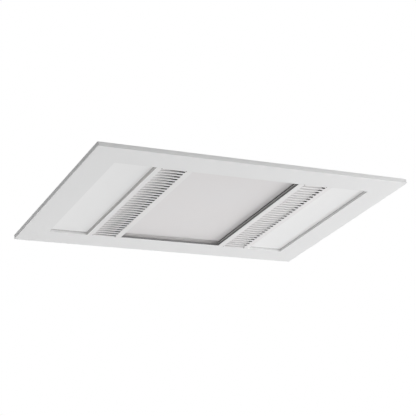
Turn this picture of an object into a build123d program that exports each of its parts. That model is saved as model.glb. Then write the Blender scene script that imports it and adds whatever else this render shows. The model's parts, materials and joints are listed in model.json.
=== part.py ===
from build123d import *
import os
from math import cos, radians, sin, sqrt, tan

# Bathroom ceiling heater: a face plate with two heater windows, two air grilles and a light
# panel, and the steel box that hangs above it with the heaters, the light, the extract
# blower and the duct.
# Units are millimetres. X runs along the plate, Y across it towards the duct, Z up.
# The origin is the middle of the ceiling opening, on the underside of the ceiling board.

# Face plate
plate_length = 550.0
plate_width = 400.0
plate_depth = 7.5
plate_sheet = 3.0
plate_rim_wall = 2.5
plate_corner_radius = 2.0
plate_edge_round = 0.8
end_border = 46.5
side_border = 50.0
heater_window_share = 0.1532
grille_share = 0.1335
lip_wall = 1.6
seam_gap = 0.3
fit_gap = 0.5
overrun = 1.0

# Grille strips
slot_count = 30
slot_open_share = 0.595
slot_border = 9.5
slot_end_margin = 3.2
bar_thickness = 0.8
baffle_depth = 5.5
baffle_sheet = 1.2
baffle_margin = 1.6
baffle_wall = 0.9
baffle_air_gap = 6.0
baffle_rib_count = 7
baffle_rib_wall = 1.0
baffle_rib_height = 2.5
pin_head_radius = 1.3
pin_head_height = 0.6
pin_radius = 0.8
pin_length = 4.5
pin_border = 1.9
ledge_height = 2.5
ledge_reach = 9.0

# Fit of screws, shafts and pins in their holes
screw_clearance = 0.1
running_clearance = 0.05

# Housing box
sheet = 1.0
clamp_bay = 13.0
end_bay = 16.5
flange_gap = 7.5
flange_hole_radius = 2.25
joist_hole_radius = 2.5
joist_hole_spacing = 300.0
joist_hole_rise = 50.0
joist_hole_height = 95.0

# Heaters
can_margin = 7.5
can_height = 66.0
glass_thickness = 4.0
glass_clearance = 0.3
reflector_sheet = 0.8
reflector_flange = 2.2
reflector_height = 58.0
lamp_height = 26.0
lamp_radius = 5.0
lamp_cap_radius = 3.5
lamp_cap_length = 14.0
lamp_cap_gap = 0.3
holder_width = 20.0
holder_rise = 10.0
holder_length = 35.5
holder_overlap = 6.0
cutout_radius = 8.0
cutout_height = 9.0

# Light panel
shadow_gap = 1.6
bezel_lip = 2.5
bezel_groove_height = 2.4
bezel_groove_depth = 2.0
bezel_ledge = 2.0
bezel_wall = 3.3
diffuser_thickness = 3.0
guide_thickness = 3.5
guide_inset = 2.2
led_board = 1.4
led_chip_count = 28
led_chip_size = 2.6
led_chip_height = 0.6
back_plate_thickness = 1.5
light_screw_radius = 0.9
light_screw_head = 1.5
light_screw_head_height = 1.2
light_screw_length = 7.0
light_screw_share = 0.867

# Brackets that carry the heaters and the light
bracket_sheet = 1.2
bracket_width = 20.0
bracket_leg = 14.0
bracket_foot = 12.0
light_bracket_share = 0.615

# Blower
inlet_space = 30.0
scroll_side_gap = 23.5
scroll_back_gap = 31.5
scroll_step = 15.0
scroll_wall = 1.2
tongue_radius = 4.0
tongue_gap = 6.0
duct_bore_radius = 48.0
outlet_margin = 4.0
inlet_margin = 6.0
inlet_depth = 8.0
impeller_top_gap = 7.0
impeller_bottom_gap = 8.0
blade_count = 40
blade_depth = 16.0
blade_thickness = 1.0
blade_sweep = 6.0
impeller_plate = 1.5
shroud_height = 2.0
hub_radius = 10.0
hub_height = 24.0
nut_across_flats = 13.0
nut_height = 4.0

# Motor
shaft_radius = 4.0
motor_radius_share = 0.511
motor_height = 30.0
motor_wall = 1.5
motor_flange_reach = 13.0
motor_screw_reach = 7.0
motor_screw_count = 3
motor_top_gap = 6.0
grommet_height = 4.0
grommet_radius = 5.5
bearing_radius = 9.0
bearing_height = 5.0
stator_radial_depth = 18.5
stator_height = 16.0
air_gap = 0.6
screw_radius = 2.0
screw_head_radius = 3.8
screw_head_height = 2.4

# Standoffs between the scroll and the box
standoff_radius = 5.0
standoff_count = 4
top_screw_length = 12.0

# Duct spigot and damper
spigot_wall = 1.2
spigot_length = 55.0
spigot_flange_margin = 13.0
spigot_screw_inset = 6.0
spigot_screw_length = 5.0
damper_distance = 10.0
damper_pin_radius = 1.5
flap_thickness = 1.0
flap_clearance = 1.5
knuckle_radius = 3.0
knuckle_count = 4
knuckle_gap = 0.4
knuckle_end_gap = 6.0
flap_relief = 0.6
stop_height = 4.0
stop_thickness = 2.0

# Terminal box and driver
terminal_length = 100.0
terminal_width = 64.0
terminal_height = 30.0
terminal_wall = 2.0
terminal_edge_gap = 20.0
terminal_y = -60.0
terminal_post = 8.0
cover_thickness = 2.0
cover_screw_length = 10.0
block_length = 60.0
block_width = 18.0
block_height = 14.0
block_ways = 5
block_screw_radius = 2.2
block_screw_depth = 6.0
gland_throat_radius = 4.0
gland_throat_length = 13.0
gland_inner_radius = 5.0
gland_radius = 7.0
gland_nut_radius = 10.0
gland_length = 20.0
gland_nut_length = 6.0
gland_rise = 15.0
lead_hole_radius = 8.0
driver_length = 110.0
driver_width = 44.0
driver_height = 26.0
driver_ear = 12.0
driver_ear_thickness = 3.0
driver_edge_gap = 32.0
driver_y = 40.0

# Internal leads
lead_radius = 2.0
lead_spread = 3.2
lead_end_gap = 0.3
lead_ceiling_gap = 9.0
lead_drop = 24.0
lead_back_gap = 34.0

# Ceiling clamps
board_thickness = 13.0
clamp_travel = 20.0
clamp_screw_radius = 2.45
clamp_head_radius = 4.4
clamp_head_height = 3.2
clamp_wall_gap = 1.8
clamp_end_gap = 10.0
dog_width = 8.0
dog_hub_radius = 5.0
dog_reach = 28.4
dog_thickness = 5.0
dog_tip = 3.0
clamp_tab_rise = 4.0
clamp_tab_depth = 16.0
clamp_top_gap = 4.0
clamp_screw_overhang = 4.0
clamp_bracket_width = 10.5
slot_clearance = 1.0
head_slot_width = 1.0
head_slot_depth = 1.2

# Hanger wires of the face plate
pull_down = 60.0
wire_radius = 1.0
wire_wall_gap = 6.0
wire_head_radius = 2.5
wire_head_height = 2.0
wire_stop_gap = 0.5
boss_radius = 4.0
boss_height = 4.5
boss_hole_depth = 3.0
guide_width = 10.0
guide_height = 8.0
guide_rise = 4.0
guide_depth = 10.0

# Places worked out from the sizes above
face_z = -plate_depth
face_back_z = face_z + plate_sheet
opening_half_length = plate_length / 2 - end_border
opening_half_width = plate_width / 2 - side_border
heater_window_width = heater_window_share * 2 * opening_half_length
grille_width = grille_share * 2 * opening_half_length
heater_inner_x = opening_half_length - heater_window_width
light_half_length = heater_inner_x - grille_width
heater_x = opening_half_length - heater_window_width / 2
grille_x = (heater_inner_x + light_half_length) / 2
slot_length = grille_width - 2 * slot_border
slot_field_half = opening_half_width - slot_end_margin
slot_pitch = 2 * slot_field_half / (slot_count - 1 + slot_open_share)
slot_width = slot_open_share * slot_pitch

glass_z = face_back_z + fit_gap + sheet
glass_top_z = glass_z + glass_thickness
lip_top_z = glass_z - glass_clearance
can_half_x = heater_window_width / 2 + can_margin
can_half_y = opening_half_width + can_margin
can_inner_x = heater_x - can_half_x
can_outer_x = heater_x + can_half_x
can_bottom_z = glass_z - sheet
can_top_z = can_bottom_z + can_height

box_half_x = can_outer_x + clamp_bay + sheet
box_half_y = can_half_y + end_bay + sheet
wall_x = box_half_x - sheet
wall_y = box_half_y - sheet
flange_half_x = plate_length / 2 - plate_rim_wall - flange_gap
flange_half_y = plate_width / 2 - plate_rim_wall - flange_gap

bezel_z = face_back_z + shadow_gap
groove_z = bezel_z + bezel_lip
diffuser_z = groove_z + bezel_groove_height
guide_z = diffuser_z + diffuser_thickness
bezel_top_z = guide_z + guide_thickness
light_top_z = bezel_top_z + back_plate_thickness
pocket_margin = bezel_groove_depth + bezel_ledge
bezel_margin = pocket_margin + bezel_wall
light_screw_spacing = light_screw_share * opening_half_width
light_bracket_x = light_bracket_share * light_half_length

scroll_z = light_top_z + inlet_space
scroll_inner_height = 2 * duct_bore_radius
scroll_top_z = scroll_z + scroll_inner_height + 2 * scroll_wall
scroll_half_x = can_inner_x - scroll_side_gap
volute_radius = (2 * scroll_half_x - 5 * scroll_step) / 2
fan_x = scroll_step / 2 + volute_radius + scroll_step - scroll_half_x
fan_y = scroll_back_gap - wall_y + scroll_step / 2 + volute_radius + 2 * scroll_step
outlet_width = 2 * duct_bore_radius + outlet_margin
outlet_right_x = scroll_half_x - scroll_wall
outlet_left_x = outlet_right_x - outlet_width
duct_x = (outlet_left_x + outlet_right_x) / 2
duct_z = scroll_z + scroll_wall + duct_bore_radius
inlet_radius = volute_radius - tongue_gap - blade_depth - inlet_margin

impeller_radius = volute_radius - tongue_gap
impeller_z = scroll_z + scroll_wall + impeller_bottom_gap
impeller_top_z = scroll_top_z - scroll_wall - impeller_top_gap
motor_radius = motor_radius_share * volute_radius
motor_flange_radius = motor_radius + motor_flange_reach
motor_screw_circle = motor_radius + motor_screw_reach
standoff_circle = (motor_flange_radius + volute_radius) / 2
motor_z = scroll_top_z + grommet_height
motor_top_z = motor_z + motor_height
box_top_z = motor_top_z + motor_top_gap + sheet
ceiling_z = box_top_z - sheet
terminal_x = box_half_x - terminal_edge_gap - terminal_length / 2
driver_x = driver_edge_gap + driver_width / 2 - box_half_x

damper_y = box_half_y + damper_distance
spigot_radius = duct_bore_radius + spigot_wall

clamp_x = wall_x - clamp_wall_gap - dog_width / 2
clamp_y = wall_y - clamp_end_gap
clamp_top_tab_z = board_thickness + dog_thickness + clamp_travel + clamp_top_gap

hanger_x = (can_inner_x + scroll_half_x) / 2
hanger_y = wall_y - wire_wall_gap
guide_z0 = guide_rise
guide_z1 = guide_rise + guide_height

sides = ((-1, "left"), (1, "right"))
corners = ((1, 1), (-1, 1), (-1, -1), (1, -1))


def up(x, y, z):
    """A plane at a point, facing up."""
    return Plane(origin=(x, y, z), x_dir=(1, 0, 0), z_dir=(0, 0, 1))


def down(x, y, z):
    """A plane at a point, facing down."""
    return Plane(origin=(x, y, z), x_dir=(1, 0, 0), z_dir=(0, 0, -1))


def along_y(x, y, z, way=1):
    """A plane at a point, facing along Y, or back along Y where way is -1."""
    return Plane(origin=(x, y, z), x_dir=(1, 0, 0), z_dir=(0, way, 0))


def along_x(x, y, z, way=1):
    """A plane at a point, facing along X, or back along X where way is -1."""
    return Plane(origin=(x, y, z), x_dir=(0, 1, 0), z_dir=(way, 0, 0))


def add_block(xs, ys, zs, mode=Mode.ADD):
    """A block between two X, two Y and two Z values, in the part being built."""
    with BuildSketch(Plane.XY.offset(min(zs))) as outline:
        with Locations((sum(xs) / 2, sum(ys) / 2)):
            Rectangle(abs(xs[1] - xs[0]), abs(ys[1] - ys[0]))
    extrude(outline.sketch, amount=abs(zs[1] - zs[0]), mode=mode)


def cut_block(xs, ys, zs):
    """Take a block out of the part being built."""
    add_block(xs, ys, zs, mode=Mode.SUBTRACT)


def add_ring_block(centre_x, outer, inner, zs):
    """A rectangular ring with outer and inner half sizes, between two heights."""
    with BuildSketch(Plane.XY.offset(zs[0])) as outline:
        with Locations((centre_x, 0)):
            Rectangle(2 * outer[0], 2 * outer[1])
            Rectangle(2 * inner[0], 2 * inner[1], mode=Mode.SUBTRACT)
    extrude(outline.sketch, amount=zs[1] - zs[0])


def add_round(plane, radius, length, bore=0, mode=Mode.ADD):
    """A round bar or, with a bore, a tube that starts on a plane."""
    with BuildSketch(plane) as outline:
        Circle(radius)
        if bore:
            Circle(bore, mode=Mode.SUBTRACT)
    extrude(outline.sketch, amount=length, mode=mode)


def cut_round(plane, radius, length):
    """Drill a round hole that starts on a plane."""
    add_round(plane, radius, length, mode=Mode.SUBTRACT)


def add_screw(seat, radius, length, head_radius, head_height):
    """A pan-head screw, with a cross recess, whose head stands out of its seat plane."""
    add_round(seat, head_radius, head_height)
    add_round(seat.offset(-length), radius, length)
    with BuildSketch(seat.offset(head_height / 2)) as recess:
        Rectangle(head_radius, head_radius / 4)
        Rectangle(head_radius / 4, head_radius)
    extrude(recess.sketch, amount=head_height, mode=Mode.SUBTRACT)


def save(part, name):
    """Label a finished piece and write its STEP file."""
    part.label = name
    export_step(part, f"parts/{name}.step")


os.makedirs("parts", exist_ok=True)


# Face plate frame: a shallow tray, open in the middle, with lips round the heater windows,
# ledges that the grille strips are pinned to, and bosses for the hanger wires.
ledge_y = slot_field_half + screw_clearance
ledge_inner_x = light_half_length + bezel_margin + fit_gap
ledge_outer_x = can_inner_x - fit_gap
ledge_half = min(ledge_outer_x - grille_x, grille_x - ledge_inner_x)
pin_y = opening_half_width - seam_gap - pin_border + seam_gap / 2
pin_offset = slot_length / 2 - screw_clearance

with BuildPart() as fascia_frame:
    with BuildSketch(Plane.XY.offset(face_z)):
        RectangleRounded(plate_length, plate_width, plate_corner_radius)
    extrude(amount=plate_depth)
    fillet(fascia_frame.faces().sort_by(Axis.Z)[0].edges(), plate_edge_round)
    rim_x = plate_length / 2 - plate_rim_wall
    rim_y = plate_width / 2 - plate_rim_wall
    cut_block((-rim_x, rim_x), (-rim_y, rim_y), (face_back_z, overrun))
    cut_block(
        (-opening_half_length, opening_half_length),
        (-opening_half_width, opening_half_width),
        (face_z - overrun, face_back_z + overrun),
    )
    for side, side_name in sides:
        add_block(
            (side * opening_half_length, side * (opening_half_length + lip_wall)),
            (-opening_half_width - lip_wall, opening_half_width + lip_wall),
            (face_back_z, lip_top_z),
        )
        for end in (-1, 1):
            add_block(
                (side * heater_inner_x, side * (opening_half_length + lip_wall)),
                (end * opening_half_width, end * (opening_half_width + lip_wall)),
                (face_back_z, lip_top_z),
            )
            add_block(
                (side * grille_x - ledge_half, side * grille_x + ledge_half),
                (end * ledge_y, end * (ledge_y + ledge_reach)),
                (face_back_z, face_back_z + ledge_height),
            )
            for shift in (-pin_offset, pin_offset):
                pin_top = down(side * grille_x + shift, end * pin_y, face_back_z)
                cut_round(pin_top, pin_radius + running_clearance, -ledge_height)
            boss_base = up(side * hanger_x, end * hanger_y, face_back_z)
            add_round(boss_base, boss_radius, boss_height)
            hole_base = up(side * hanger_x, end * hanger_y, face_back_z + boss_height - boss_hole_depth)
            cut_round(hole_base, wire_radius + running_clearance, boss_hole_depth + overrun)
save(fascia_frame.part, "fascia_frame")

# Grille strips: a bordered sheet let into the frame, thinned from behind round its thirty
# slots, with a lip at the heater window. A ribbed baffle stands on a wall behind the slots,
# and the air leaves past its free edge, beside the light.
strip_half = opening_half_width - seam_gap
bar_back_z = face_z + bar_thickness
baffle_half = slot_length / 2 + baffle_margin
baffle_inner_x = grille_x - baffle_half + baffle_air_gap
baffle_outer_x = grille_x + baffle_half
baffle_z = face_z + baffle_depth
baffle_top_z = baffle_z + baffle_sheet
rib_pitch = (2 * slot_field_half - baffle_rib_wall) / (baffle_rib_count - 1)
for side, side_name in sides:
    with BuildPart() as grille:
        add_block(
            (side * light_half_length, side * heater_inner_x),
            (-strip_half, strip_half),
            (face_z, face_back_z),
        )
        cut_block(
            (side * grille_x - baffle_half, side * grille_x + baffle_half),
            (-slot_field_half, slot_field_half),
            (bar_back_z, face_back_z + overrun),
        )
        add_block(
            (side * heater_inner_x, side * (heater_inner_x - lip_wall)),
            (-strip_half, strip_half),
            (face_back_z, lip_top_z),
        )
        with BuildSketch(Plane.XY.offset(face_z - overrun)) as slots:
            with Locations((side * grille_x, 0)):
                with GridLocations(0, slot_pitch, 1, slot_count):
                    Rectangle(slot_length, slot_width)
        extrude(slots.sketch, amount=plate_sheet + 2 * overrun, mode=Mode.SUBTRACT)
        add_block(
            (side * (baffle_outer_x - baffle_wall), side * baffle_outer_x),
            (-slot_field_half, slot_field_half),
            (bar_back_z, baffle_top_z),
        )
        add_block(
            (side * baffle_inner_x, side * baffle_outer_x),
            (-slot_field_half, slot_field_half),
            (baffle_z, baffle_top_z),
        )
        rib_x = side * (baffle_inner_x + baffle_outer_x) / 2
        with BuildSketch(Plane.XY.offset(baffle_top_z)) as ribs:
            with Locations((rib_x, 0)):
                with GridLocations(0, rib_pitch, 1, baffle_rib_count):
                    Rectangle(baffle_outer_x - baffle_inner_x, baffle_rib_wall)
        extrude(ribs.sketch, amount=baffle_rib_height)
        for end in (-1, 1):
            for shift in (-pin_offset, pin_offset):
                with Locations(down(side * grille_x + shift, end * pin_y, face_z)):
                    CounterBoreHole(
                        pin_radius + running_clearance,
                        pin_head_radius + running_clearance,
                        pin_head_height,
                        depth=plate_sheet + overrun,
                    )
    save(grille.part, f"{side_name}_grille")

# Grille pins: eight flush-headed pins, one at each corner of both strips.
with BuildPart() as grille_pins:
    for side, side_name in sides:
        for end in (-1, 1):
            for shift in (-pin_offset, pin_offset):
                pin_seat = up(side * grille_x + shift, end * pin_y, face_z)
                add_round(pin_seat, pin_head_radius, pin_head_height)
                add_round(pin_seat, pin_radius, pin_length)
save(grille_pins.part, "grille_pins")

# Hanger wires: they stand in the bosses, run through the guides, and their heads stop at
# the guides when the plate has come down as far as it goes.
wire_foot_z = face_back_z + boss_height - boss_hole_depth
wire_top_z = guide_z1 + pull_down + wire_stop_gap
with BuildPart() as fascia_hangers:
    for side, end in corners:
        wire_foot = up(side * hanger_x, end * hanger_y, wire_foot_z)
        add_round(wire_foot, wire_radius, wire_top_z - wire_foot_z)
        wire_head = up(side * hanger_x, end * hanger_y, wire_top_z)
        add_round(wire_head, wire_head_radius, wire_head_height)
save(fascia_hangers.part, "fascia_hangers")

with BuildPart() as hanger_guides:
    for side, end in corners:
        add_block(
            (side * hanger_x - guide_width / 2, side * hanger_x + guide_width / 2),
            (end * wall_y, end * (wall_y - guide_depth)),
            (guide_z0, guide_z1),
        )
        wire_hole = up(side * hanger_x, end * hanger_y, guide_z0 - overrun)
        cut_round(wire_hole, wire_radius + running_clearance, guide_height + 2 * overrun)
save(hanger_guides.part, "hanger_guides")

# Heater glass, can, reflector, tube and holders, one set at each end of the plate.
lamp_z = glass_top_z + lamp_height
glass_half_x = can_half_x - sheet - glass_clearance
glass_half_y = can_half_y - sheet - glass_clearance
can_wall_y = can_half_y - sheet
holder_inner_y = can_wall_y - holder_length
lamp_length = 2 * (holder_inner_y + holder_overlap)
reflector_half_x = glass_half_x
trough_half_x = reflector_half_x - reflector_flange
reflector_half_y = holder_inner_y - fit_gap
lip_reach = lip_wall + fit_gap

for side, side_name in sides:
    with BuildPart() as heater_glass:
        with BuildSketch(Plane.XY.offset(glass_z)):
            with Locations((side * heater_x, 0)):
                Rectangle(2 * glass_half_x, 2 * glass_half_y)
        extrude(amount=glass_thickness)
    save(heater_glass.part, f"heater_glass_{side_name}")

    with BuildPart() as heater_can:
        can_centre = side * heater_x
        add_block(
            (can_centre - can_half_x, can_centre + can_half_x),
            (-can_half_y, can_half_y),
            (can_bottom_z, can_top_z),
        )
        inner_half_x = can_half_x - sheet
        cut_block(
            (can_centre - inner_half_x, can_centre + inner_half_x),
            (-can_wall_y, can_wall_y),
            (glass_z, can_top_z - sheet),
        )
        mouth_half_x = heater_window_width / 2 + lip_reach
        mouth_half_y = opening_half_width + lip_reach
        cut_block(
            (can_centre - mouth_half_x, can_centre + mouth_half_x),
            (-mouth_half_y, mouth_half_y),
            (can_bottom_z - overrun, glass_z + overrun),
        )
    save(heater_can.part, f"heater_can_{side_name}")

    # The trough is a parabola: a curve with one control point twice as high as its top.
    with BuildPart() as reflector:
        with BuildSketch(along_y(side * heater_x, -reflector_half_y, glass_top_z)):
            with BuildLine():
                outer_start = (-trough_half_x, 0)
                inner_half = trough_half_x - reflector_sheet
                inner_height = reflector_height - reflector_sheet
                Bezier(outer_start, (0, -2 * reflector_height), (trough_half_x, 0))
                Line((trough_half_x, 0), (inner_half, 0))
                Bezier((inner_half, 0), (0, -2 * inner_height), (-inner_half, 0))
                Line((-inner_half, 0), outer_start)
            make_face()
        extrude(amount=2 * reflector_half_y)
        for edge in (-1, 1):
            flange_inner = side * heater_x + edge * (trough_half_x - reflector_sheet)
            flange_outer = side * heater_x + edge * reflector_half_x
            add_block(
                (flange_inner, flange_outer),
                (-reflector_half_y, reflector_half_y),
                (glass_top_z, glass_top_z + reflector_sheet),
            )
    save(reflector.part, f"reflector_{side_name}")

    with BuildPart() as halogen_tube:
        envelope_half = lamp_length / 2 - lamp_cap_length
        add_round(along_y(side * heater_x, -envelope_half, lamp_z), lamp_radius, 2 * envelope_half)
        fillet(halogen_tube.edges().filter_by(GeomType.CIRCLE), lamp_radius / 3)
        add_round(along_y(side * heater_x, -lamp_length / 2, lamp_z), lamp_cap_radius, lamp_length)
    save(halogen_tube.part, f"halogen_tube_{side_name}")

    with BuildPart() as lamp_holders:
        for end in (-1, 1):
            add_block(
                (side * heater_x - holder_width / 2, side * heater_x + holder_width / 2),
                (end * holder_inner_y, end * can_wall_y),
                (lamp_z - holder_rise, lamp_z + holder_rise),
            )
            cap_hole = along_y(side * heater_x, end * holder_inner_y, lamp_z, end)
            cut_round(cap_hole, lamp_cap_radius + lamp_cap_gap, holder_overlap + lamp_cap_gap)
    save(lamp_holders.part, f"lamp_holders_{side_name}")

with BuildPart() as thermal_cutouts:
    for side, side_name in sides:
        add_round(up(side * heater_x, 0, can_top_z), cutout_radius, cutout_height)
        tab_half = cutout_radius / 4
        tab_z = can_top_z + cutout_height
        for edge in (-1, 1):
            tab_x = side * heater_x + edge * cutout_radius / 2
            tab_xs = (tab_x - tab_half / 4, tab_x + tab_half / 4)
            add_block(tab_xs, (-tab_half, tab_half), (tab_z, tab_z + tab_half))
save(thermal_cutouts.part, "thermal_cutouts")

# Light panel: a stepped bezel, an opal diffuser on its ledge, a light guide with an LED strip
# along each long edge, and a back plate screwed down on the bezel.
pocket_half_x = light_half_length + pocket_margin
pocket_half_y = opening_half_width + pocket_margin
bezel_half_x = light_half_length + bezel_margin
bezel_half_y = opening_half_width + bezel_margin
with BuildPart() as light_bezel:
    add_ring_block(
        0,
        (bezel_half_x, bezel_half_y),
        (light_half_length, opening_half_width),
        (bezel_z, groove_z),
    )
    groove_half = (light_half_length + bezel_groove_depth, opening_half_width + bezel_groove_depth)
    add_ring_block(0, (bezel_half_x, bezel_half_y), groove_half, (groove_z, diffuser_z))
    pocket_half = (pocket_half_x, pocket_half_y)
    add_ring_block(0, (bezel_half_x, bezel_half_y), pocket_half, (diffuser_z, bezel_top_z))
    screw_x = pocket_half_x + bezel_wall / 2
    with Locations((0, 0, bezel_top_z)):
        with GridLocations(2 * screw_x, light_screw_spacing, 2, 3):
            Hole(light_screw_radius + running_clearance, depth=light_screw_length)
save(light_bezel.part, "light_bezel")

with BuildPart() as light_diffuser:
    with BuildSketch(Plane.XY.offset(diffuser_z)):
        Rectangle(2 * (pocket_half_x - glass_clearance), 2 * (pocket_half_y - glass_clearance))
    extrude(amount=diffuser_thickness)
save(light_diffuser.part, "light_diffuser")

with BuildPart() as light_guide:
    with BuildSketch(Plane.XY.offset(guide_z)):
        Rectangle(2 * (pocket_half_x - guide_inset), 2 * (pocket_half_y - glass_clearance))
    extrude(amount=guide_thickness)
save(light_guide.part, "light_guide")

with BuildPart() as led_strips:
    strip_length_half = pocket_half_y - glass_clearance
    chip_pitch = 2 * strip_length_half / led_chip_count
    guide_mid_z = guide_z + guide_thickness / 2
    for side, side_name in sides:
        board_x = side * pocket_half_x
        chip_x = side * (pocket_half_x - led_board)
        add_block((board_x, chip_x), (-strip_length_half, strip_length_half), (guide_z, bezel_top_z))
        with BuildSketch(along_x(chip_x, 0, guide_mid_z, -side)) as chips:
            with GridLocations(chip_pitch, 0, led_chip_count, 1):
                Rectangle(led_chip_size, led_chip_size)
        extrude(chips.sketch, amount=led_chip_height)
save(led_strips.part, "led_strips")

with BuildPart() as light_back_plate:
    with BuildSketch(Plane.XY.offset(bezel_top_z)):
        Rectangle(2 * bezel_half_x, 2 * bezel_half_y)
    extrude(amount=back_plate_thickness)
    with Locations((0, 0, light_top_z)):
        with GridLocations(2 * screw_x, light_screw_spacing, 2, 3):
            Hole(light_screw_radius + screw_clearance)
save(light_back_plate.part, "light_back_plate")

with BuildPart() as light_screws:
    for side, side_name in sides:
        for step in (-1, 0, 1):
            add_screw(
                up(side * screw_x, step * light_screw_spacing, light_top_z),
                light_screw_radius,
                light_screw_length,
                light_screw_head,
                light_screw_head_height,
            )
save(light_screws.part, "light_screws")

# Hanging brackets: an angle with a foot on a heater can or on the light's back plate and a
# leg against the housing wall, at both ends of each.
bracket_seats = (
    (-heater_x, can_half_y, can_top_z),
    (-light_bracket_x, bezel_half_y, light_top_z),
    (light_bracket_x, bezel_half_y, light_top_z),
    (heater_x, can_half_y, can_top_z),
)
with BuildPart() as hanging_brackets:
    for seat_x, seat_y, seat_z in bracket_seats:
        for end in (-1, 1):
            xs = (seat_x - bracket_width / 2, seat_x + bracket_width / 2)
            add_block(xs, (end * (seat_y - bracket_foot), end * wall_y), (seat_z, seat_z + bracket_sheet))
            leg_zs = (seat_z, seat_z + bracket_leg)
            add_block(xs, (end * (wall_y - bracket_sheet), end * wall_y), leg_zs)
save(hanging_brackets.part, "hanging_brackets")

# Scroll housing: quarter arcs whose centres step round a small square, ending in a straight
# outlet to the duct. The base plate below it carries the inlet ring.
centre_left = fan_x - scroll_step / 2
centre_right = fan_x + scroll_step / 2
centre_low = fan_y - scroll_step / 2
centre_high = fan_y + scroll_step / 2
radius_1 = volute_radius + scroll_step
radius_2 = volute_radius + 2 * scroll_step
radius_3 = volute_radius + 3 * scroll_step
tongue_x = outlet_left_x - scroll_wall
tongue_y = centre_high + sqrt(volute_radius**2 - (tongue_x - centre_left) ** 2)


def quarter(centre_x, centre_y, radius, start):
    """A quarter arc, anticlockwise from a start angle."""
    return CenterArc((centre_x, centre_y), radius, start, 90)


def draw_volute():
    """The closed outline of the scroll, up to the housing wall, as a face."""
    tongue_angle = Vector(1, 0, 0).get_angle(Vector(tongue_x - centre_left, tongue_y - centre_high, 0))
    with BuildSketch() as volute:
        with BuildLine():
            Line((tongue_x, wall_y), (tongue_x, tongue_y))
            CenterArc((centre_left, centre_high), volute_radius, tongue_angle, 90 - tongue_angle)
            quarter(centre_left, centre_low, radius_1, 90)
            quarter(centre_right, centre_low, radius_2, 180)
            quarter(centre_right, centre_high, radius_3, 270)
            Line((centre_right + radius_3, centre_high), (centre_right + radius_3, wall_y))
            Line((centre_right + radius_3, wall_y), (tongue_x, wall_y))
        make_face()
        fillet(volute.vertices().sort_by_distance((tongue_x, tongue_y, 0))[0], tongue_radius)
    return volute.sketch


volute_face = draw_volute()
standoff_places = [
    (
        fan_x + standoff_circle * cos(radians(45 + 360 / standoff_count * step)),
        fan_y + standoff_circle * sin(radians(45 + 360 / standoff_count * step)),
    )
    for step in range(standoff_count)
]
motor_screw_places = [
    (
        fan_x + motor_screw_circle * cos(radians(360 / motor_screw_count * step)),
        fan_y + motor_screw_circle * sin(radians(360 / motor_screw_count * step)),
    )
    for step in range(motor_screw_count)
]

with BuildPart() as scroll_housing:
    shell_z = scroll_z + scroll_wall
    extrude(Plane.XY.offset(shell_z).location * volute_face, amount=scroll_top_z - shell_z)
    with BuildSketch(Plane.XY.offset(shell_z)) as passage:
        add(volute_face)
        offset(amount=-scroll_wall, kind=Kind.INTERSECTION)
        with Locations((duct_x, wall_y - scroll_wall / 2)):
            Rectangle(outlet_width, 2 * scroll_wall)
    extrude(passage.sketch, amount=scroll_inner_height, mode=Mode.SUBTRACT)
    with Locations((fan_x, fan_y, scroll_top_z)):
        Hole(hub_radius + motor_wall, depth=2 * scroll_wall)
    with Locations(*[(x, y, scroll_top_z) for x, y in motor_screw_places]):
        Hole(screw_radius + running_clearance, depth=2 * scroll_wall)
save(scroll_housing.part, "scroll_housing")

with BuildPart() as scroll_base:
    extrude(Plane.XY.offset(scroll_z).location * volute_face, amount=scroll_wall)
    with Locations((fan_x, fan_y, scroll_z + scroll_wall)):
        Hole(inlet_radius + inlet_depth / 2, depth=2 * scroll_wall)
    with BuildSketch(along_y(fan_x, fan_y, scroll_z, -1)) as mouth:
        outer_radius = inlet_radius + inlet_depth
        throat_z = scroll_wall + inlet_depth / 2
        throat_inside = (inlet_radius, throat_z)
        throat_outside = (inlet_radius + scroll_wall, throat_z)
        with BuildLine():
            Line((outer_radius, scroll_wall), throat_outside)
            Line(throat_outside, throat_inside)
            TangentArc(throat_inside, (outer_radius, -inlet_depth / 2), tangent=(0, -1))
            Line((outer_radius, -inlet_depth / 2), (outer_radius, scroll_wall))
        make_face()
    revolve(mouth.sketch, axis=Axis((fan_x, fan_y, 0), (0, 0, 1)))
save(scroll_base.part, "scroll_base")

# Impeller: forward-curved blades between a back plate on top and a shroud ring below, with
# a hub that the motor's shaft carries.
blade_inner_radius = impeller_radius - blade_depth


def draw_blade():
    """One curved blade, from the inside of the wheel to its rim, as a face."""
    root = (blade_inner_radius + blade_thickness / 2, 0)
    tip = (impeller_radius - blade_thickness, blade_sweep)
    belly = ((root[0] + tip[0]) / 2 + blade_sweep / 4, blade_sweep / 4)
    with BuildSketch() as blade:
        with BuildLine():
            ThreePointArc(root, belly, tip)
        trace(line_width=blade_thickness)
    return blade.sketch


blade_face = draw_blade()
hub_z = impeller_top_z - impeller_plate - hub_height
with BuildPart() as impeller:
    add_round(up(fan_x, fan_y, impeller_top_z - impeller_plate), impeller_radius, impeller_plate)
    add_round(up(fan_x, fan_y, impeller_z), impeller_radius, shroud_height, bore=blade_inner_radius)
    add_round(up(fan_x, fan_y, hub_z), hub_radius, hub_height)
    with BuildSketch(Plane.XY.offset(impeller_z)) as blades:
        with Locations((fan_x, fan_y)):
            with PolarLocations(0, blade_count):
                add(blade_face)
    extrude(blades.sketch, amount=impeller_top_z - impeller_z)
    cut_round(up(fan_x, fan_y, hub_z - overrun), shaft_radius, hub_height + impeller_plate + 2 * overrun)
save(impeller.part, "impeller")

with BuildPart() as impeller_nut:
    with BuildSketch(Plane.XY.offset(hub_z - nut_height)):
        with Locations((fan_x, fan_y)):
            RegularPolygon(nut_across_flats / 2, 6, major_radius=False)
            Circle(shaft_radius, mode=Mode.SUBTRACT)
    extrude(amount=nut_height)
save(impeller_nut.part, "impeller_nut")

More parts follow.
